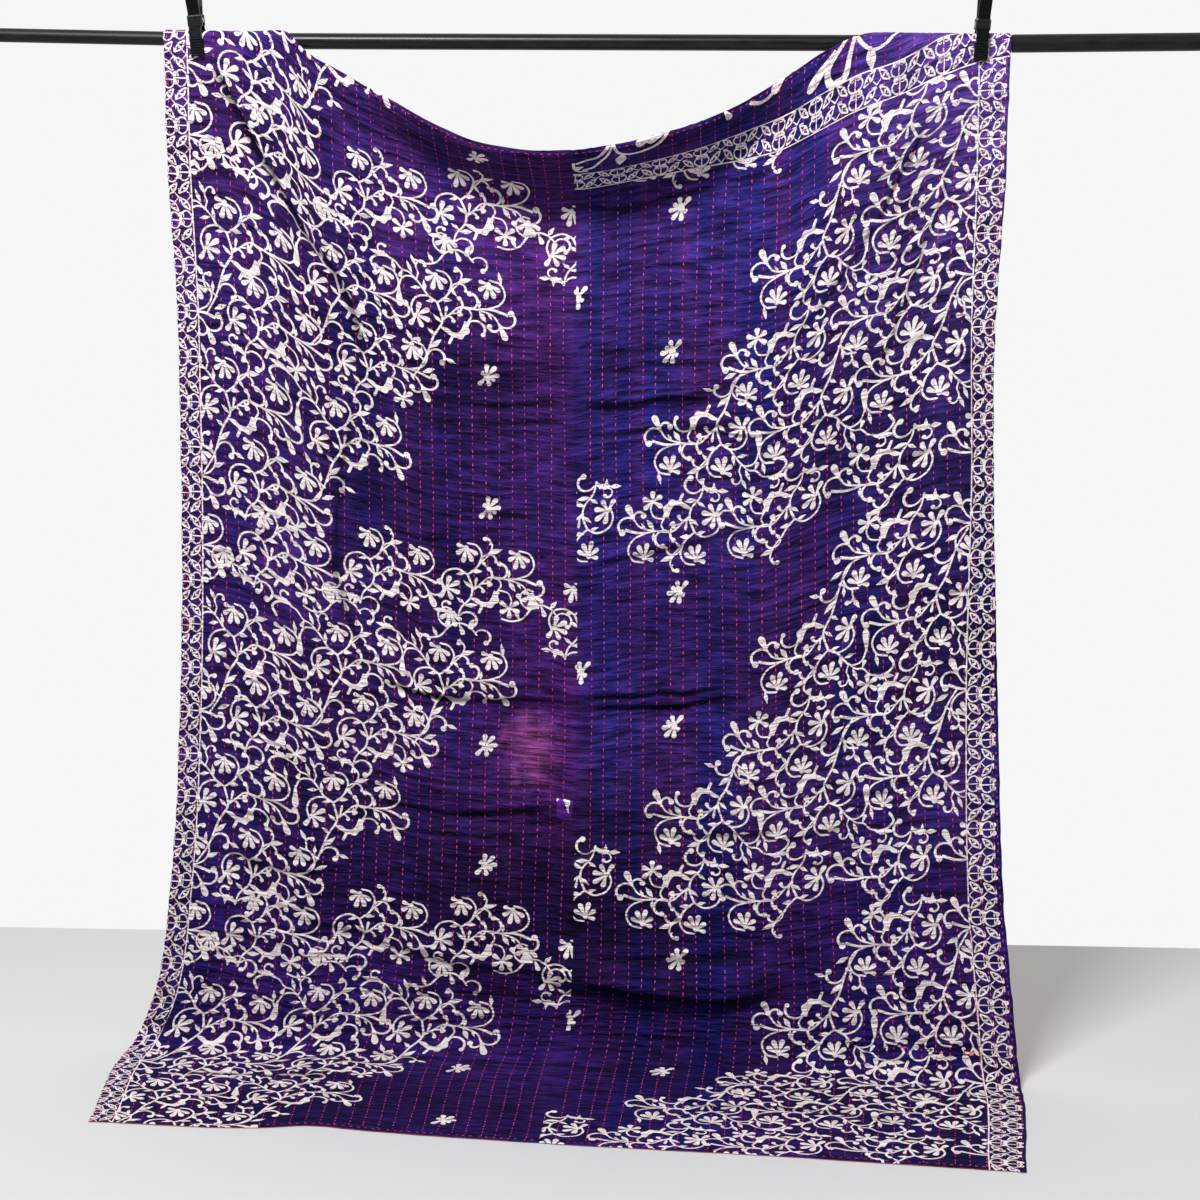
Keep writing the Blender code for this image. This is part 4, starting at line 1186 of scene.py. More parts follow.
class Nodes:
    """Short calls for the nodes of a material or world."""

    def __init__(self, owner):
        owner.use_nodes = True
        self.tree = owner.node_tree

    def node(self, kind, **settings):
        made = self.tree.nodes.new(f"ShaderNode{kind}")
        for key, value in settings.items():
            setattr(made, key, value)
        return made

    def put(self, part, node, socket):
        """An output, a number or a colour goes into a socket."""
        if isinstance(part, bpy.types.NodeSocket):
            self.tree.links.new(part, node.inputs[socket])
        else:
            node.inputs[socket].default_value = part

    def value(self, operation, *parts):
        """A Math node; each part is an output or a number."""
        made = self.node("Math", operation=operation)
        for index, part in enumerate(parts):
            self.put(part, made, index)
        return made.outputs[0]

    def split(self, places):
        made = self.node("SeparateXYZ")
        self.put(places, made, 0)
        return tuple(made.outputs)

    def remap(self, value, start, end, low, high, **settings):
        """A value's way from start to end, as a number from low to high."""
        made = self.node("MapRange", **settings)
        for index, part in enumerate((value, start, end, low, high)):
            self.put(part, made, index)
        return made.outputs["Result"]

    def spread(self, places, scale, shift=(0.0, 0.0, 0.0)):
        """Places stretched by a scale in each direction, then shifted."""
        made = self.node("Mapping", vector_type="POINT")
        self.put(places, made, "Vector")
        self.put(shift, made, "Location")
        self.put(scale, made, "Scale")
        return made.outputs["Vector"]

    def mottle(self, places, scale, detail=2.0, rough=0.5, output="Fac"):
        made = self.node("TexNoise")
        self.put(self.spread(places, scale), made, "Vector")
        for socket, part in (("Scale", 1.0), ("Detail", detail), ("Roughness", rough)):
            self.put(part, made, socket)
        return made.outputs[output]

    def ramp(self, factor, *stops):
        made = self.node("ValToRGB")
        self.put(factor, made, "Fac")
        marks = made.color_ramp.elements
        while len(marks) < len(stops):
            marks.new(0.5)
        for mark, (place, colour) in zip(marks, stops):
            mark.position = place
            mark.color = (*colour, 1.0)
        return made.outputs["Color"]

    def blend(self, factor, first, second, blend_type="MIX"):
        """Two outputs or colours mixed by a factor."""
        made = self.node("Mix", data_type="RGBA", blend_type=blend_type)
        self.put(factor, made, 0)
        for index, part in ((6, first), (7, second)):
            self.put((*part, 1.0) if isinstance(part, tuple) else part, made, index)
        return made.outputs[2]

    def times(self, colour, factor, *stops):
        """A colour multiplied by a ramp over a factor."""
        return self.blend(1.0, colour, self.ramp(factor, *stops), "MULTIPLY")


class Finish(Nodes):
    """A material under construction."""

    def __init__(self, name, colour, roughness, specular=0.5, metallic=0.0):
        self.material = bpy.data.materials.new(name)
        self.material.diffuse_color = (*colour, 1.0)
        super().__init__(self.material)
        self.shader = self.tree.nodes["Principled BSDF"]
        self.set("Base Color", (*colour, 1.0))
        self.set("Roughness", roughness)
        self.set("Specular IOR Level", specular)
        self.set("Metallic", metallic)

    def set(self, socket, part):
        self.put(part, self.shader, socket)

    def flat_places(self):
        """Places on the flat cloth from its map, in cloth lengths."""
        return self.node("UVMap", uv_map="OFBake").outputs["UV"]

    def places(self):
        return self.node("TexCoord").outputs["Object"]

    def roughness(self, factor, low, high):
        self.set("Roughness", self.remap(factor, 0.0, 1.0, low, high))

    def bump(self, height):
        """Relief from a height in metres."""
        made = self.node("Bump")
        for socket, part in (("Distance", 1.0), ("Strength", 1.0), ("Height", height)):
            self.put(part, made, socket)
        self.set("Normal", made.outputs["Normal"])


def cloth_scale(across, down):
    """Noise cells to the metre, for places on the flat map."""
    return (across * CLOTH_LENGTH, down * CLOTH_LENGTH, 1.0)


def rippled(finish, places):
    """The close ripples that the stitches draw up, from 0 to 1, bent by a slower drift."""
    bent = finish.node("VectorMath", operation="MULTIPLY_ADD")
    drift = finish.mottle(places, cloth_scale(4.5, 9), output="Color")
    for index, part in enumerate((drift, (0.012, 0.012, 0.0), places)):
        finish.put(part, bent, index)
    return finish.mottle(bent.outputs["Vector"], cloth_scale(15, 92), 3.0, 0.58)


PAINTED_CREASE_SHADE = (0.004, 0.002, 0.012)  # painted shade deep in the creases


def painted_fold_shade(finish, ripple, colour, deepest, highest):
    """A colour with painted shade down in the ripples and creases and a painted highlight along the
    ripples' tops.
    """
    # painted shade in the ripples' valleys and a painted highlight on their tops
    shades = (0.34, grey(deepest)), (0.50, grey(0.95)), (0.66, grey(highest))
    colour = finish.times(colour, ripple, *shades)
    # painted shade in the creases, as deep as each point lies in one
    fold = finish.node("Attribute", attribute_name=CREASE_SHADE_MASK)
    depth = finish.value("MULTIPLY", fold.outputs["Fac"], 1 - 0.5 * deepest)
    return finish.blend(depth, colour, PAINTED_CREASE_SHADE)


RIPPLE_DEPTH, CRINKLE_DEPTH, WEAVE_DEPTH, GROOVE_DEPTH = 0.0125, 0.0032, 0.00022, 0.0006


def quilted(finish, places, ripple, weave=1.0):
    """The close ripples, the weave and the grooves along the rows of stitches, as relief."""
    settings = bpy.context.scene.kantha_quilt
    crinkle = finish.mottle(places, cloth_scale(30, 210), 2.0, 0.6)
    warp = finish.mottle(places, cloth_scale(1500, 260), 1.0)
    weft = finish.mottle(places, cloth_scale(260, 1500), 1.0)
    row = finish.value("MULTIPLY", finish.split(places)[0], CLOTH_LENGTH / settings.stitch_spacing)
    row = finish.value("ABSOLUTE", finish.value("SUBTRACT", finish.value("FRACT", row), 0.5))
    groove = finish.value("POWER", finish.value("SUBTRACT", 1.0, row), 14.0)
    height = finish.value("MULTIPLY", ripple, RIPPLE_DEPTH * settings.pucker_depth)
    layers = (
        (crinkle, CRINKLE_DEPTH * settings.pucker_depth),
        (warp, WEAVE_DEPTH * weave),
        (weft, WEAVE_DEPTH * weave),
        (groove, -GROOVE_DEPTH),
    )
    for layer, depth in layers:
        height = finish.value("MULTIPLY_ADD", layer, depth, height)
    finish.bump(height)


PAINTED_LIGHT_DOWN = (  # share of the cloth's length above its foot, and the painted light and shade there: darker near the foot, a painted fold shadow at 0.31, lighter near the top
    (0.00, (0.44, 0.44, 0.66)),
    (0.12, (0.56, 0.54, 0.76)),
    (0.23, (0.76, 0.72, 0.94)),
    (0.31, (0.50, 0.47, 0.62)),
    (0.40, (0.98, 0.96, 1.00)),
    (0.58, (0.78, 0.86, 0.92)),
    (0.70, (0.72, 0.86, 0.92)),
    (0.90, (1.22, 1.22, 1.14)),
)
SEAM_RED = (  # the same, how far the stained panel turns red
    (0.30, BLACK),
    (0.38, WHITE),
    (0.54, WHITE),
    (0.64, grey(0.25)),
    (0.86, grey(0.55)),
)
STAIN = (0.658, 1.195, 0.062, 0.090)  # across, down, half width, half height
STAIN_COLOUR = (0.33, 0.075, 0.27)
SEAM_COLOUR = (0.062, 0.009, 0.088)  # that the stained panel turns to near its seam
OUTER_PAINTED_LIGHT = (0.052, 0.024, 0.165)  # painted light that the other panel turns to near its outer edge, high up
VIOLET = (1.5, 0.9, 0.92)  # the stained panel's blue, as shares of the other's


def rusty_stain(finish, places, colour):
    """A faded pinkish stain with an uneven edge."""
    across, down, half_width, half_height = STAIN
    scale = (CLOTH_LENGTH / half_width, CLOTH_LENGTH / half_height, 1.0)
    shift = (-across / half_width, -(CLOTH_LENGTH - down) / half_height, 0.0)
    reach = finish.node("VectorMath", operation="LENGTH")
    finish.put(finish.spread(places, scale, shift), reach, 0)
    ragged = finish.mottle(places, cloth_scale(44, 20), 5.0, 0.65)
    edge = finish.value("MULTIPLY_ADD", ragged, 1.7, reach.outputs["Value"])
    spot = finish.remap(edge, 2.05, 0.95, 0.0, 0.55, interpolation_type="SMOOTHSTEP")
    return finish.blend(spot, colour, STAIN_COLOUR)


def dyed_ground(name, blue, purple, streaks, stained):
    """Dyed cotton in broad soft bands down the cloth, mottled where it has faded. The stained panel
    turns redder towards its seam. Painted light and shade make it darker low down and lighter high up,
    with a painted fold shadow, and the other panel lighter near its outer edge high up. Painted shade
    darkens its ripples and creases, with a painted highlight on the ripples' tops."""
    finish = Finish(name, blue, 0.88, 0.08)
    places = finish.flat_places()
    ripple = rippled(finish, places)
    band = finish.mottle(places, cloth_scale(6.5, 0.35), 3.0, 0.55)
    colour = finish.ramp(band, (0.38, blue), (0.52, purple), (0.60, blue), (0.70, purple))
    across, up, _ = finish.split(places)
    if stained:
        near_seam = finish.ramp(across, (0.50 / CLOTH_LENGTH, BLACK), (0.72 / CLOTH_LENGTH, WHITE))
        redder = finish.value("MULTIPLY", near_seam, finish.mottle(places, cloth_scale(7, 2), 3.0))
        redder = finish.value("MULTIPLY", redder, finish.ramp(up, *SEAM_RED))
        colour = finish.blend(redder, colour, SEAM_COLOUR)
    else:
        # painted light on the other panel near its outer edge, high up
        outer = finish.ramp(across, (1.20 / CLOTH_LENGTH, BLACK), (1.42 / CLOTH_LENGTH, WHITE))
        upper = finish.ramp(up, (0.58, BLACK), (0.70, WHITE))
        colour = finish.blend(finish.value("MULTIPLY", outer, upper), colour, OUTER_PAINTED_LIGHT)
    faded = finish.mottle(places, cloth_scale(1.6, 2.2))
    patchy = finish.mottle(places, cloth_scale(26, 26), 5.0, 0.6)
    thread = finish.mottle(places, cloth_scale(18, 420), 2.0, 0.6)
    # painted light and shade down the cloth, with a painted shadow under a fold
    colour = finish.times(colour, up, *PAINTED_LIGHT_DOWN)
    colour = finish.times(colour, faded, (0.36, grey(0.62)), (0.64, grey(1.5)))
    colour = finish.times(colour, patchy, (0.30, (0.80, 0.80, 0.84)), (0.72, (1.22, 1.20, 1.16)))
    colour = finish.times(colour, thread, (0.35, grey(1 - streaks)), (0.70, grey(1 + streaks)))
    if stained:
        colour = rusty_stain(finish, places, colour)
    # painted shade in the ripples and creases, painted highlight on the ripples' tops
    finish.set("Base Color", painted_fold_shade(finish, ripple, colour, 0.36, 1.75))
    quilted(finish, places, ripple)
    return finish.material


def printed_cotton(name, cream):
    """Cream pigment on the cloth, thin and greyer where it has worn, with painted shade in its ripples
    and creases and a painted highlight on the ripples' tops.
    """
    finish = Finish(name, cream, 0.92, 0.15)
    places = finish.flat_places()
    worn = finish.mottle(places, cloth_scale(48, 60), 4.0, 0.6)
    colour = finish.ramp(worn, (0.32, scaled(cream, 0.80)), (0.50, cream), (0.72, scaled(cream, 1.06)))
    speck = finish.mottle(places, cloth_scale(340, 340))
    colour = finish.times(colour, speck, (0.33, (0.86, 0.82, 0.86)), (0.50, WHITE))
    ripple = rippled(finish, places)
    # painted shade in the ripples and creases, painted highlight on the ripples' tops
    finish.set("Base Color", painted_fold_shade(finish, ripple, colour, 0.80, 1.06))
    quilted(finish, places, ripple, 0.7)
    return finish.material


def plain_backing(name, colour, faded):
    finish = Finish(name, colour, 0.90)
    places = finish.flat_places()
    patchy = finish.mottle(places, cloth_scale(14, 14), 4.0, 0.6)
    finish.set("Base Color", finish.ramp(patchy, (0.35, colour), (0.68, faded)))
    quilted(finish, places, rippled(finish, places))
    return finish.material


def grained(finish, cells, detail, height):
    """Relief of a fine grain, from its cells to the metre and its height in metres."""
    finish.bump(finish.value("MULTIPLY", finish.mottle(finish.places(), cells, detail), height))


def thread_finish(name, colour, dark):
    finish = Finish(name, colour, 0.75)
    fibre = finish.mottle(finish.places(), (260, 260, 260))
    finish.set("Base Color", finish.ramp(fibre, (0.35, dark), (0.62, colour)))
    grained(finish, (1600, 1600, 1600), 1.0, 0.0002)
    return finish.material


def enamel(name, roughness, spread):
    """Black gloss enamel over steel, with faint ripple and dust."""
    finish = Finish(name, (0.010, 0.010, 0.011), roughness, 0.22)
    dust = finish.mottle(finish.places(), (26, 160, 160), 4.0, 0.6)
    finish.roughness(dust, roughness - spread, roughness + spread)
    black = finish.ramp(dust, (0.40, (0.004, 0.004, 0.005)), (0.75, (0.012, 0.012, 0.013)))
    finish.set("Base Color", black)
    grained(finish, (12, 90, 90), 2.0, 0.00002)
    return finish.material


def moulded(name, colour, roughness, grain, sheen=0.10):
    """Moulded black plastic with a fine grain, scuffed a little."""
    finish = Finish(name, colour, roughness, sheen)
    scuff = finish.mottle(finish.places(), (90, 90, 220), 5.0, 0.65)
    finish.set("Base Color", finish.ramp(scuff, (0.45, colour), (0.78, scaled(colour, 2.2))))
    finish.roughness(scuff, roughness - 0.08, roughness + 0.12)
    grained(finish, (900, 900, 900), 2.0, grain)
    return finish.material


def worn_steel(name):
    finish = Finish(name, (0.42, 0.42, 0.44), 0.34, metallic=1.0)
    scratch = finish.mottle(finish.places(), (900, 120, 120), 3.0, 0.6)
    finish.roughness(scratch, 0.24, 0.48)
    finish.set("Base Color", finish.ramp(scratch, (0.40, (0.30, 0.30, 0.31)), (0.70, (0.48, 0.48, 0.50))))
    return finish.material


# ---------------------------------------------------------------- stitches, patch and mends

STITCH_RISE = 0.00042
PALER_SHARE = 0.62  # of the stitches, in the first of two threads


def stitch_grid(count):
    """Vertices of one stitch along and across, with its height over the cloth, and its faces."""
    along = np.array([-0.50, -0.34, 0.34, 0.50])
    across = np.array([-0.5, 0.0, 0.5])
    wide = np.array([0.5, 1.0, 1.0, 0.5])
    rise = np.array([[-0.3, 0.0, -0.3], [0.1, 1.0, 0.1], [0.1, 1.0, 0.1], [-0.3, 0.0, -0.3]])
    local = np.stack([across * wide[:, None], np.repeat(along[:, None], 3, axis=1), rise], axis=-1)
    feet = [j * 3 + i for j in range(3) for i in range(2)]
    quads = np.array([(k, k + 3, k + 4, k + 1) for k in feet])
    return local.reshape(-1, 3), (quads + 12 * np.arange(count)[:, None, None]).reshape(-1, 4)


def stitch_mesh(name, stitches, finishes, seed):
    """Raised running stitches. Each is (across, down, heading from straight down, length, width)."""
    stitches = np.array(stitches)
    chance = np.random.default_rng(seed)
    local, faces = stitch_grid(len(stitches))
    across, down, heading, length, width = (stitches[:, k, None] for k in range(5))
    side, ahead = local[None, :, 0] * width, local[None, :, 1] * length
    a = across + side * np.cos(heading) + ahead * np.sin(heading)
    d = down - side * np.sin(heading) + ahead * np.cos(heading)
    height = QUILT_THICK / 2 + STITCH_RISE * local[None, :, 2] + 0 * a
    a, d = np.clip(a, 0, QUILT_WIDTH), np.clip(d, 0, CLOTH_LENGTH)
    points = quilt_surface(a.ravel(), d.ravel(), height.ravel())
    kinds = np.minimum(chance.random(len(stitches)) > PALER_SHARE, len(finishes) - 1)
    return new_mesh(name, points, faces.tolist(), finishes, np.repeat(kinds, 6))


ROW_MARGIN = 0.009  # no row of stitches runs closer to an edge
ROW_DRIFT = 0.0016
STITCH_WIDTH = 0.0013
HEM_STITCH, HEM_REPEAT = (0.0052, 0.0014), 0.0125  # length and width, distance between them
SIDE_STITCH, SIDE_REPEAT = (0.0050, 0.0014), 0.0130
SIDE_INSET = 0.0060
HEM_INSETS = (0.0065, 0.0075)  # of the rows along the top and bottom hems
ROW_STARTS, ROW_ENDS, SIDE_ENDS = 0.004, 0.008, 0.010  # how far from an edge rows start and end


def running_rows(low, high, seed):
    """The rows of running stitches down a panel, and one along each of its outer hems."""
    settings = bpy.context.scene.kantha_quilt
    spacing, repeat = settings.stitch_spacing, settings.stitch_repeat
    chance = np.random.default_rng(seed)
    stitches = []
    for row in np.arange(math.ceil(low / spacing), math.floor(high / spacing) + 1):
        across = row * spacing - spacing / 2
        if not low + ROW_MARGIN < across < high - ROW_MARGIN:
            continue
        start = chance.uniform(ROW_STARTS, repeat)
        down = np.arange(ROW_STARTS + start, CLOTH_LENGTH - ROW_ENDS, repeat)
        down = down + chance.normal(0, 0.0011, len(down))
        drift = ROW_DRIFT * noise(down / 0.12, down * 0 + row, seed)
        length = settings.stitch_length * chance.uniform(0.72, 1.25, len(down))
        heading = chance.normal(0, 0.10, len(down))
        for place in zip(across + drift, down, heading, length):
            stitches.append((*place, STITCH_WIDTH * chance.uniform(0.8, 1.2)))
    for down in (HEM_INSETS[0], CLOTH_LENGTH - HEM_INSETS[1]):
        for across in np.arange(low + ROW_ENDS, high - ROW_ENDS, HEM_REPEAT):
            heading = math.pi / 2 + chance.normal(0, 0.12)
            stitches.append((across + chance.normal(0, 0.0012), down, heading, *HEM_STITCH))
    outer = low + SIDE_INSET if low == 0.0 else high - SIDE_INSET
    for down in np.arange(SIDE_ENDS, CLOTH_LENGTH - SIDE_ENDS, SIDE_REPEAT):
        stitches.append((outer, down + chance.normal(0, 0.001), chance.normal(0, 0.1), *SIDE_STITCH))
    return stitches


# Darns: short stitches over a worn place. across, down, heading, length
DARNS = (
    (0.574, 0.700, 0.9, 0.016),
    (0.578, 0.706, 1.1, 0.015),
    (0.583, 0.711, 0.8, 0.014),
    (0.616, 1.420, 1.3, 0.017),
    (0.618, 1.427, 1.2, 0.016),
    (0.622, 1.433, 1.4, 0.015),
    (0.372, 1.384, 0.5, 0.016),
    (0.379, 1.385, -0.6, 0.015),
    (0.375, 1.400, 0.0, 0.018),
)
DARN_WIDTH = 0.0016
PATCH_ACROSS = (0.710, 0.739)
PATCH_HEIGHT = (0.4235, 0.4625)
EDGE_STITCH = (0.0035, 0.0011)  # length and width of the stitches round the patch
EDGE_INSET = 0.0012


def down_at_height(across, height):
    """Length down the cloth to a height above the floor on the drop."""
    down = np.linspace(0.3, 1.8, 601)
    heights = cloth_point(np.full_like(down, across), down)[:, 2]
    return float(np.interp(-height, -heights, down))


PATCH_CELLS = 14
PATCH_RISE, PATCH_CRINKLE, PATCH_FRAY = 0.0013, 0.0003, 0.0006
PATCH_ROUNDING = 0.07  # share of the patch's width over which its edge turns down


def patch_mesh(finishes):
    """A small sewn-on square with a frayed, turned edge and a white three-cornered scrap on it."""
    low, high = PATCH_ACROSS
    bottom, top = (down_at_height((low + high) / 2, height) for height in PATCH_HEIGHT)
    steps = np.linspace(0, 1, PATCH_CELLS + 1)
    u, v = (part.ravel() for part in np.meshgrid(steps, steps))
    fray = PATCH_FRAY * noise(u * 9, v * 9, 31)
    across = low + u * (high - low) + fray * (np.abs(u - 0.5) > 0.45)
    down = top + v * (bottom - top) + fray * (np.abs(v - 0.5) > 0.45)
    inward = np.minimum(np.minimum(u, 1 - u), np.minimum(v, 1 - v))
    rounded = np.sqrt(1 - (1 - np.clip(inward / PATCH_ROUNDING, 0, 1)) ** 2)
    height = QUILT_THICK / 2 + 0.0001 + PATCH_RISE * rounded
    height = height + PATCH_CRINKLE * noise(u * 7, v * 7, 32)
    faces, kinds = [], []
    for j in range(PATCH_CELLS):
        for i in range(PATCH_CELLS):
            k = j * (PATCH_CELLS + 1) + i
            faces.append((k, k + PATCH_CELLS + 1, k + PATCH_CELLS + 2, k + 1))
            petal = j <= 7 and 6 + 0.55 * j <= i <= 11.5 - 0.2 * j
            kinds.append(1 if petal or i + j <= 1 else 0)
    mesh = new_mesh("patch_cloth", quilt_surface(across, down, height), faces, finishes, kinds)
    map_flat(mesh, across, down)
    edge = []
    for t in (np.arange(7) + 0.5) / 7:
        place = top + t * (bottom - top)
        edge += [(side, place, 0.0, *EDGE_STITCH) for side in (low + EDGE_INSET, high - EDGE_INSET)]
    for t in (np.arange(5) + 0.5) / 5:
        place = low + t * (high - low)
        for end in (top + EDGE_INSET, bottom - EDGE_INSET):
            edge.append((place, end, math.pi / 2, *EDGE_STITCH))
    return mesh, edge


# ---------------------------------------------------------------- sizes and operators


def colour_setting(name, description, default):
    return FloatVectorProperty(
        name=name, description=description, default=default, min=0, max=1, subtype="COLOR"
    )


def length_setting(name, description, default, low, high):
    return FloatProperty(
        name=name, description=description, default=default, min=low, max=high,
        subtype="DISTANCE", unit="LENGTH",
    )


def share_setting(name, description):
    return FloatProperty(
        name=name, description=f"{description}, as a share of the usual", default=1.0,
        min=0.0, max=1.5, subtype="FACTOR",
    )


class KanthaQuiltSettings(bpy.types.PropertyGroup):
    """Sizes and colours of the quilt that a user may change before making it."""

    ground_blue: colour_setting("Blue ground", "Bluer bands of the dyed cotton", (0.012, 0.0098, 0.100))
    ground_purple: colour_setting("Purple ground", "Redder bands of the cotton", (0.035, 0.010, 0.090))
    print_cream: colour_setting("Print", "Cream of the printed vine", (0.86, 0.78, 0.76))
    thread_pink: colour_setting("Thread", "Pink of the running stitches", (0.78, 0.050, 0.30))
    stitch_spacing: length_setting("Row spacing", "Distance between rows of stitches", 0.0245, 0.01, 0.05)
    stitch_repeat: length_setting(
        "Stitch repeat", "Distance from one stitch to the next", 0.0122, 0.008, 0.05
    )
    stitch_length: length_setting("Stitch length", "Length of a stitch that shows", 0.0056, 0.002, 0.02)
    crease_depth: share_setting("Creases", "Depth of the creases")
    pucker_depth: share_setting("Puckers", "Depth of the small ripples")


SEAM_LAP = 0.0004  # the sewn edges of the two panels lie this far into each other

PANELS = (
    # node, its slot, its edges, its printed shapes and zones, the clamp that holds it, seed
    ("quilt_left", "left_panel", (0.0, LEFT_PANEL_WIDTH + SEAM_LAP), left_print, left_zone, "left", 41),
    (
        "quilt_right", "right_panel", (LEFT_PANEL_WIDTH - SEAM_LAP, QUILT_WIDTH),
        right_print, right_zone, "right", 42,
    ),
)


class KANTHA_OT_panels(bpy.types.Operator):
    """Make the quilt's two printed panels and their backing"""

    bl_idname = "kantha.panels"
    bl_label = "Quilt panels"

    def execute(self, context):
        settings = context.scene.kantha_quilt
        blue, purple, cream, pink = (
            tuple(colour)
            for colour in (
                settings.ground_blue, settings.ground_purple, settings.print_cream, settings.thread_pink
            )
        )
        violet = tuple(share * part for share, part in zip(VIOLET, blue))
        grounds = (
            dyed_ground("violet_ground", violet, purple, 0.10, True),
            dyed_ground("indigo_ground", blue, scaled(purple, 0.95), 0.10, False),
        )
        ink = printed_cotton("cream_print", cream)
        backs = (
            plain_backing("orange_backing", (0.62, 0.15, 0.035), (0.70, 0.24, 0.075)),
            plain_backing("teal_backing", (0.020, 0.160, 0.170), (0.045, 0.230, 0.230)),
            plain_backing("rose_backing", (0.62, 0.10, 0.10), (0.70, 0.22, 0.16)),
        )
        for ground, (node, slot, (low, high), shapes, zone_of, clamp, seed) in zip(grounds, PANELS):
            mesh = printed_face(f"{node}_face", low, high, shapes(), zone_of, (ground, ink))
            face = add_piece(mesh)
            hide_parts(node)
            back = add_piece(backing(f"{node}_back", low, high, backs))
            threads = (
                thread_finish(f"{node}_pink_thread", pink, scaled(pink, 0.6)),
                thread_finish(f"{node}_crimson_thread", (0.50, 0.020, 0.11), (0.26, 0.012, 0.07)),
            )
            stitches = running_rows(low, high, seed)
            sewn = add_piece(stitch_mesh(f"{node}_stitches", stitches, threads, 43))
        return {"FINISHED"}


class KANTHA_OT_mends(bpy.types.Operator):
    """Make the patch and the darned places of the left panel"""

    bl_idname = "kantha.mends"
    bl_label = "Patch and darns"

    def execute(self, context):
        cloth = dyed_ground("patch_ground", (0.100, 0.018, 0.26), (0.125, 0.022, 0.28), 0.12, False)
        scrap = printed_cotton("patch_scrap", tuple(context.scene.kantha_quilt.print_cream))
        mesh, edge = patch_mesh((cloth, scrap))
        patch = add_piece(mesh)
        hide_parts("patch")
        thread = thread_finish("mending_thread", (0.20, 0.10, 0.24), (0.10, 0.05, 0.14))
        navy = thread_finish("darning_thread", (0.006, 0.004, 0.020), (0.003, 0.002, 0.010))
        edging = add_piece(stitch_mesh("patch_stitches", edge, (thread,), 44))
        darns = [(*darn, DARN_WIDTH) for darn in DARNS]
        add_piece(stitch_mesh("darns", darns, (navy,), 45))
        return {"FINISHED"}


def give_finishes(finishes):
    """Covers carried-over pieces, from a table of their names and finishes."""
    for node, finish in finishes.items():
        materials = bpy.data.objects[node].data.materials
        materials.clear()
        materials.append(finish)


class KANTHA_OT_rod(bpy.types.Operator):
    """Finish the telescopic rod's tubes and caps"""

    bl_idname = "kantha.rod"
    bl_label = "Telescopic rod"

    def execute(self, context):
        gloss = enamel("gloss_enamel", 0.30, 0.04)
        satin = enamel("satin_enamel", 0.42, 0.06)
        cap = moulded("cap_plastic", (0.012, 0.012, 0.012), 0.50, 0.00004)
        give_finishes({
            "rod_thin_tube": satin,
            "rod_middle_tube": gloss,
            "rod_wide_tube": satin,
            "rod_cap_left": cap,
            "rod_cap_right": cap,
        })
        return {"FINISHED"}


CLAMP_LEANS = {"left": -5.0, "right": 4.0}  # degrees
PIN_RISE = 0.030  # pin's height above the rod's axis
COLLAR = (0.0246, 0.0080, 0.0200)  # across, deep and high, round each arm at the pin
COLLAR_FORWARD = 0.0108
JAW_RIB = (0.0206, 0.0020, 0.0018)
JAW_RIBS = (-0.0245, 0.0010, 7)  # lowest and highest, from the rod's axis, and how many


def add_bar(made, place, size, rounding, segments):
    """A box with rounded edges."""
    box = bmesh.ops.create_cube(made, size=1.0, matrix=place @ Matrix.Diagonal((*size, 1.0)))
    edges = list({edge for vert in box["verts"] for edge in vert.link_edges})
    bmesh.ops.bevel(made, geom=edges, offset=rounding, segments=segments, profile=0.5, affect="EDGES")


def clamp_details(side, finish):
    """A collar round each arm at the pin, and ribs down the outside of its jaw."""
    middle = CLAMP_PLACES[side]
    place = Matrix.Translation((middle, ROD_BACK, float(rod_axis_height(np.array(middle)))))
    tilt = Matrix.Rotation(math.radians(CLAMP_LEANS[side]), 4, "Y")
    made = bmesh.new()
    for end, facing in (("front", 0.0), ("back", math.pi)):
        turn = place @ tilt @ Matrix.Rotation(facing, 4, "Z")
        arm = bpy.data.objects[f"clamp_{side}_{end}_arm"]
        local = [turn.inverted() @ arm.matrix_world @ vert.co for vert in arm.data.vertices]
        jaw_face = min(point.y for point in local if point.z < 0.0)
        add_bar(made, turn @ Matrix.Translation((0, -COLLAR_FORWARD, PIN_RISE)), COLLAR, 0.0030, 3)
        for height in np.linspace(*JAW_RIBS):
            add_bar(made, turn @ Matrix.Translation((0, jaw_face, float(height))), JAW_RIB, 0.0007, 1)
    mesh = bpy.data.meshes.new(f"clamp_{side}_details")
    made.to_mesh(mesh)
    made.free()
    mesh.materials.append(finish)
    add_piece(mesh)


class KANTHA_OT_clamps(bpy.types.Operator):
    """Finish the two spring clamps"""

    bl_idname = "kantha.clamps"
    bl_label = "Spring clamps"

    def execute(self, context):
        arm = moulded("clamp_plastic", (0.0035, 0.0040, 0.005), 0.30, 0.00005, 0.05)
        pad = moulded("pad_rubber", (0.005, 0.005, 0.006), 0.62, 0.00010)
        steel = worn_steel("clamp_steel")
        glossier = moulded("collar_plastic", (0.005, 0.006, 0.008), 0.24, 0.00003, 0.45)
        parts = {
            "front_arm": arm,
            "back_arm": arm,
            "front_pad": pad,
            "back_pad": pad,
            "pin": steel,
            "spring": steel,
        }
        for side in CLAMP_PLACES:
            clamp_details(side, glossier)
            give_finishes({f"clamp_{side}_{part}": finish for part, finish in parts.items()})
        return {"FINISHED"}


LIGHTS = (
    # name, place, target, size, power
    ("key", (-0.9, -2.0, 3.9), (0.0, 0.1, 0.9), (1.3, 0.7), 175.0),
    ("side", (2.6, -2.6, 2.6), (0.1, 0.1, 0.9), (1.2, 1.6), 14.0),
)
WORLD_FRONT, WORLD_BACK = 0.22, 0.96  # strength of the soft surround before and behind the quilt


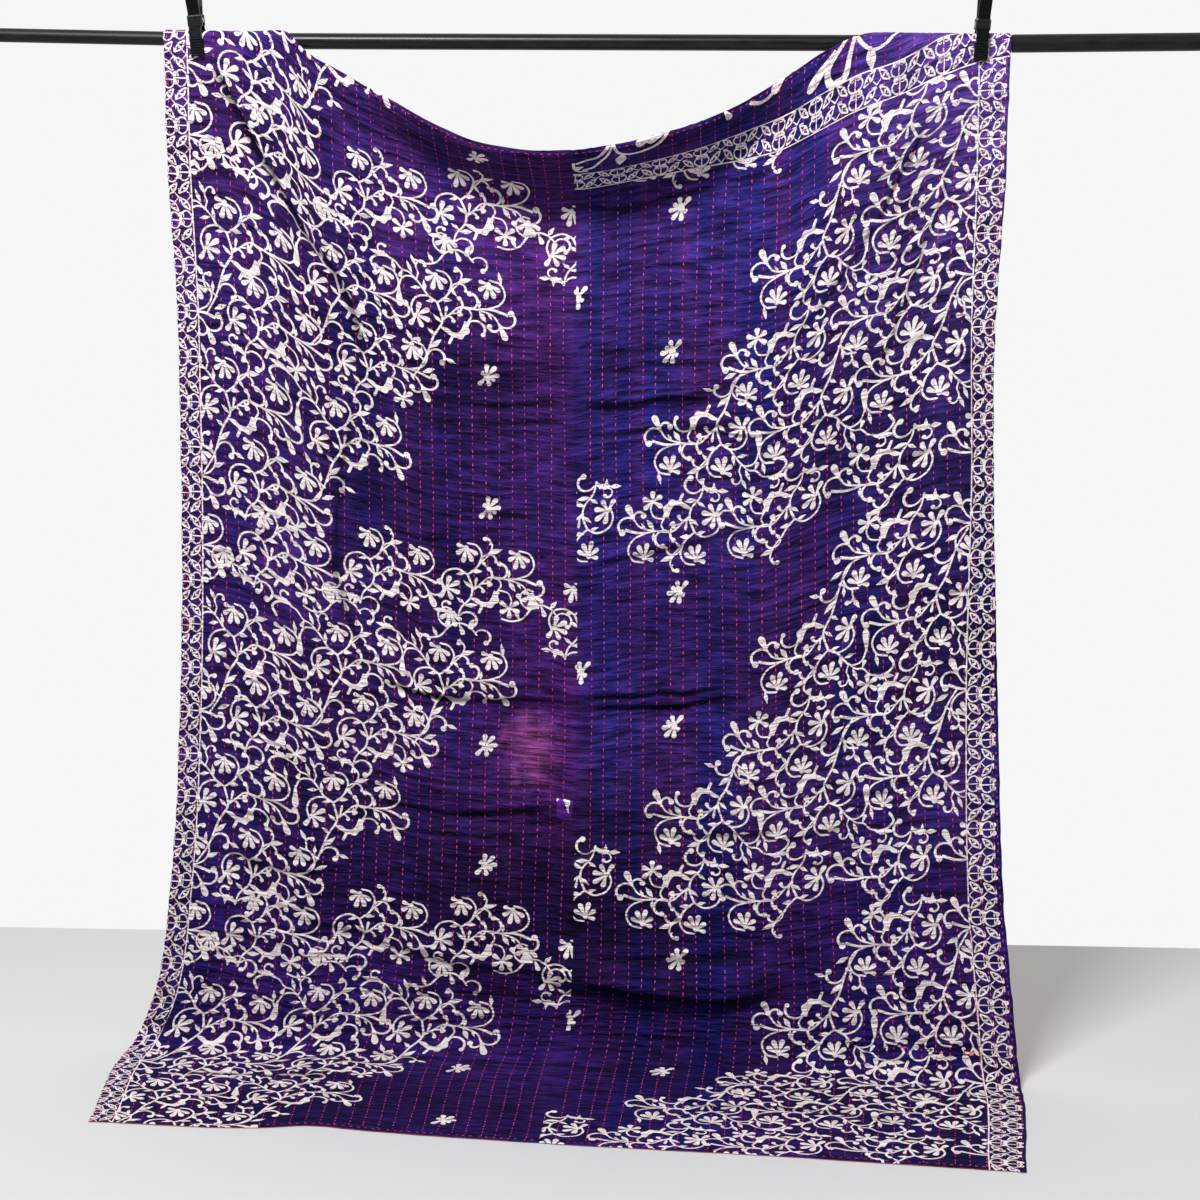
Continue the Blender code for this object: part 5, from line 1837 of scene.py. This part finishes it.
def studio_world():
    """A soft white surround, brighter behind the quilt than before it."""
    world = bpy.data.worlds.new("studio")
    nodes = Nodes(world)
    background = nodes.tree.nodes["Background"]
    depth = nodes.split(nodes.node("TexCoord").outputs["Generated"])[1]
    nodes.put((0.96, 0.96, 0.965, 1), background, "Color")
    nodes.put(nodes.remap(depth, -0.5, 0.3, WORLD_FRONT, WORLD_BACK), background, "Strength")
    return world


CAMERA_PLACE = (0.1945, -4.2281, 1.7350)
CAMERA_DOWN = 11.75  # degrees below level
CAMERA_LEFT = 2.5  # degrees turned to the left
CAMERA_ROLL = 0.2
CAMERA_LENS, CAMERA_SENSOR = 80, 36  # millimetres
FLOOR_BACK = 0.817  # the floor ends where a wall would stand
FLOOR_SIDE, FLOOR_FRONT = 7, -10
FLOOR_HEIGHT = -0.0005  # just under the quilt


def add_light(name, place, target, size, power):
    light = bpy.data.lights.new(name, "AREA")
    light.shape = "RECTANGLE"
    light.size, light.size_y = size
    light.energy = power
    made = bpy.data.objects.new(name, light)
    made.location = place
    made.rotation_euler = (Vector(target) - Vector(place)).to_track_quat("-Z", "Y").to_euler()
    bpy.context.scene.collection.objects.link(made)


def add_camera():
    turn, tilt, roll = (math.radians(d) for d in (CAMERA_LEFT, CAMERA_DOWN, CAMERA_ROLL))
    ahead = np.array([-math.sin(turn) * math.cos(tilt), math.cos(turn) * math.cos(tilt), -math.sin(tilt)])
    level = np.array([math.cos(turn), math.sin(turn), 0.0])
    below = np.cross(ahead, level)
    right = math.cos(roll) * level - math.sin(roll) * below
    down = math.cos(roll) * below + math.sin(roll) * level
    axes = Matrix([[right[k], -down[k], -ahead[k]] for k in range(3)])
    camera = bpy.data.objects.new("camera", bpy.data.cameras.new("camera"))
    camera.data.lens, camera.data.sensor_width = CAMERA_LENS, CAMERA_SENSOR
    camera.matrix_world = Matrix.Translation(CAMERA_PLACE) @ axes.to_4x4()
    bpy.context.scene.collection.objects.link(camera)
    bpy.context.scene.camera = camera


class KANTHA_OT_stage(bpy.types.Operator):
    """Lay the pale floor and set up soft lights and the camera"""

    bl_idname = "kantha.stage"
    bl_label = "Floor, lights and camera"

    def execute(self, context):
        mesh = bpy.data.meshes.new("floor")
        front = [(side, FLOOR_FRONT, FLOOR_HEIGHT) for side in (-FLOOR_SIDE, FLOOR_SIDE)]
        back = [(side, FLOOR_BACK, FLOOR_HEIGHT) for side in (FLOOR_SIDE, -FLOOR_SIDE)]
        mesh.from_pydata(front + back, [], [(0, 1, 2, 3)])
        mesh.materials.append(Finish("pale_floor", (0.56, 0.56, 0.565), 0.75).material)
        floor = bpy.data.objects.new("floor", mesh)
        context.scene.collection.objects.link(floor)
        context.scene.world = studio_world()
        context.scene.view_settings.view_transform = "Standard"
        for light in LIGHTS:
            add_light(*light)
        add_camera()
        return {"FINISHED"}


class KANTHA_PT_sidebar(bpy.types.Panel):
    """Lists the quilt's settings and pieces"""

    bl_label = "Kantha quilt"
    bl_idname = "KANTHA_PT_sidebar"
    bl_space_type = "VIEW_3D"
    bl_region_type = "UI"
    bl_category = "Kantha quilt"

    def draw(self, context):
        settings = context.scene.kantha_quilt
        for name in settings.__annotations__:
            self.layout.prop(settings, name)
        for operator in OPERATORS:
            self.layout.operator(operator.bl_idname)


OPERATORS = (
    KANTHA_OT_panels,
    KANTHA_OT_mends,
    KANTHA_OT_rod,
    KANTHA_OT_clamps,
    KANTHA_OT_stage,
)


def register():
    bpy.utils.register_class(KanthaQuiltSettings)
    for operator in OPERATORS:
        bpy.utils.register_class(operator)
    bpy.utils.register_class(KANTHA_PT_sidebar)
    bpy.types.Scene.kantha_quilt = PointerProperty(type=KanthaQuiltSettings)


def unregister():
    del bpy.types.Scene.kantha_quilt
    bpy.utils.unregister_class(KANTHA_PT_sidebar)
    for operator in reversed(OPERATORS):
        bpy.utils.unregister_class(operator)
    bpy.utils.unregister_class(KanthaQuiltSettings)


def main():
    register()
    bpy.ops.kantha.panels()
    bpy.ops.kantha.mends()
    bpy.ops.kantha.rod()
    bpy.ops.kantha.clamps()
    bpy.ops.kantha.stage()


if __name__ == "__main__":
    main()
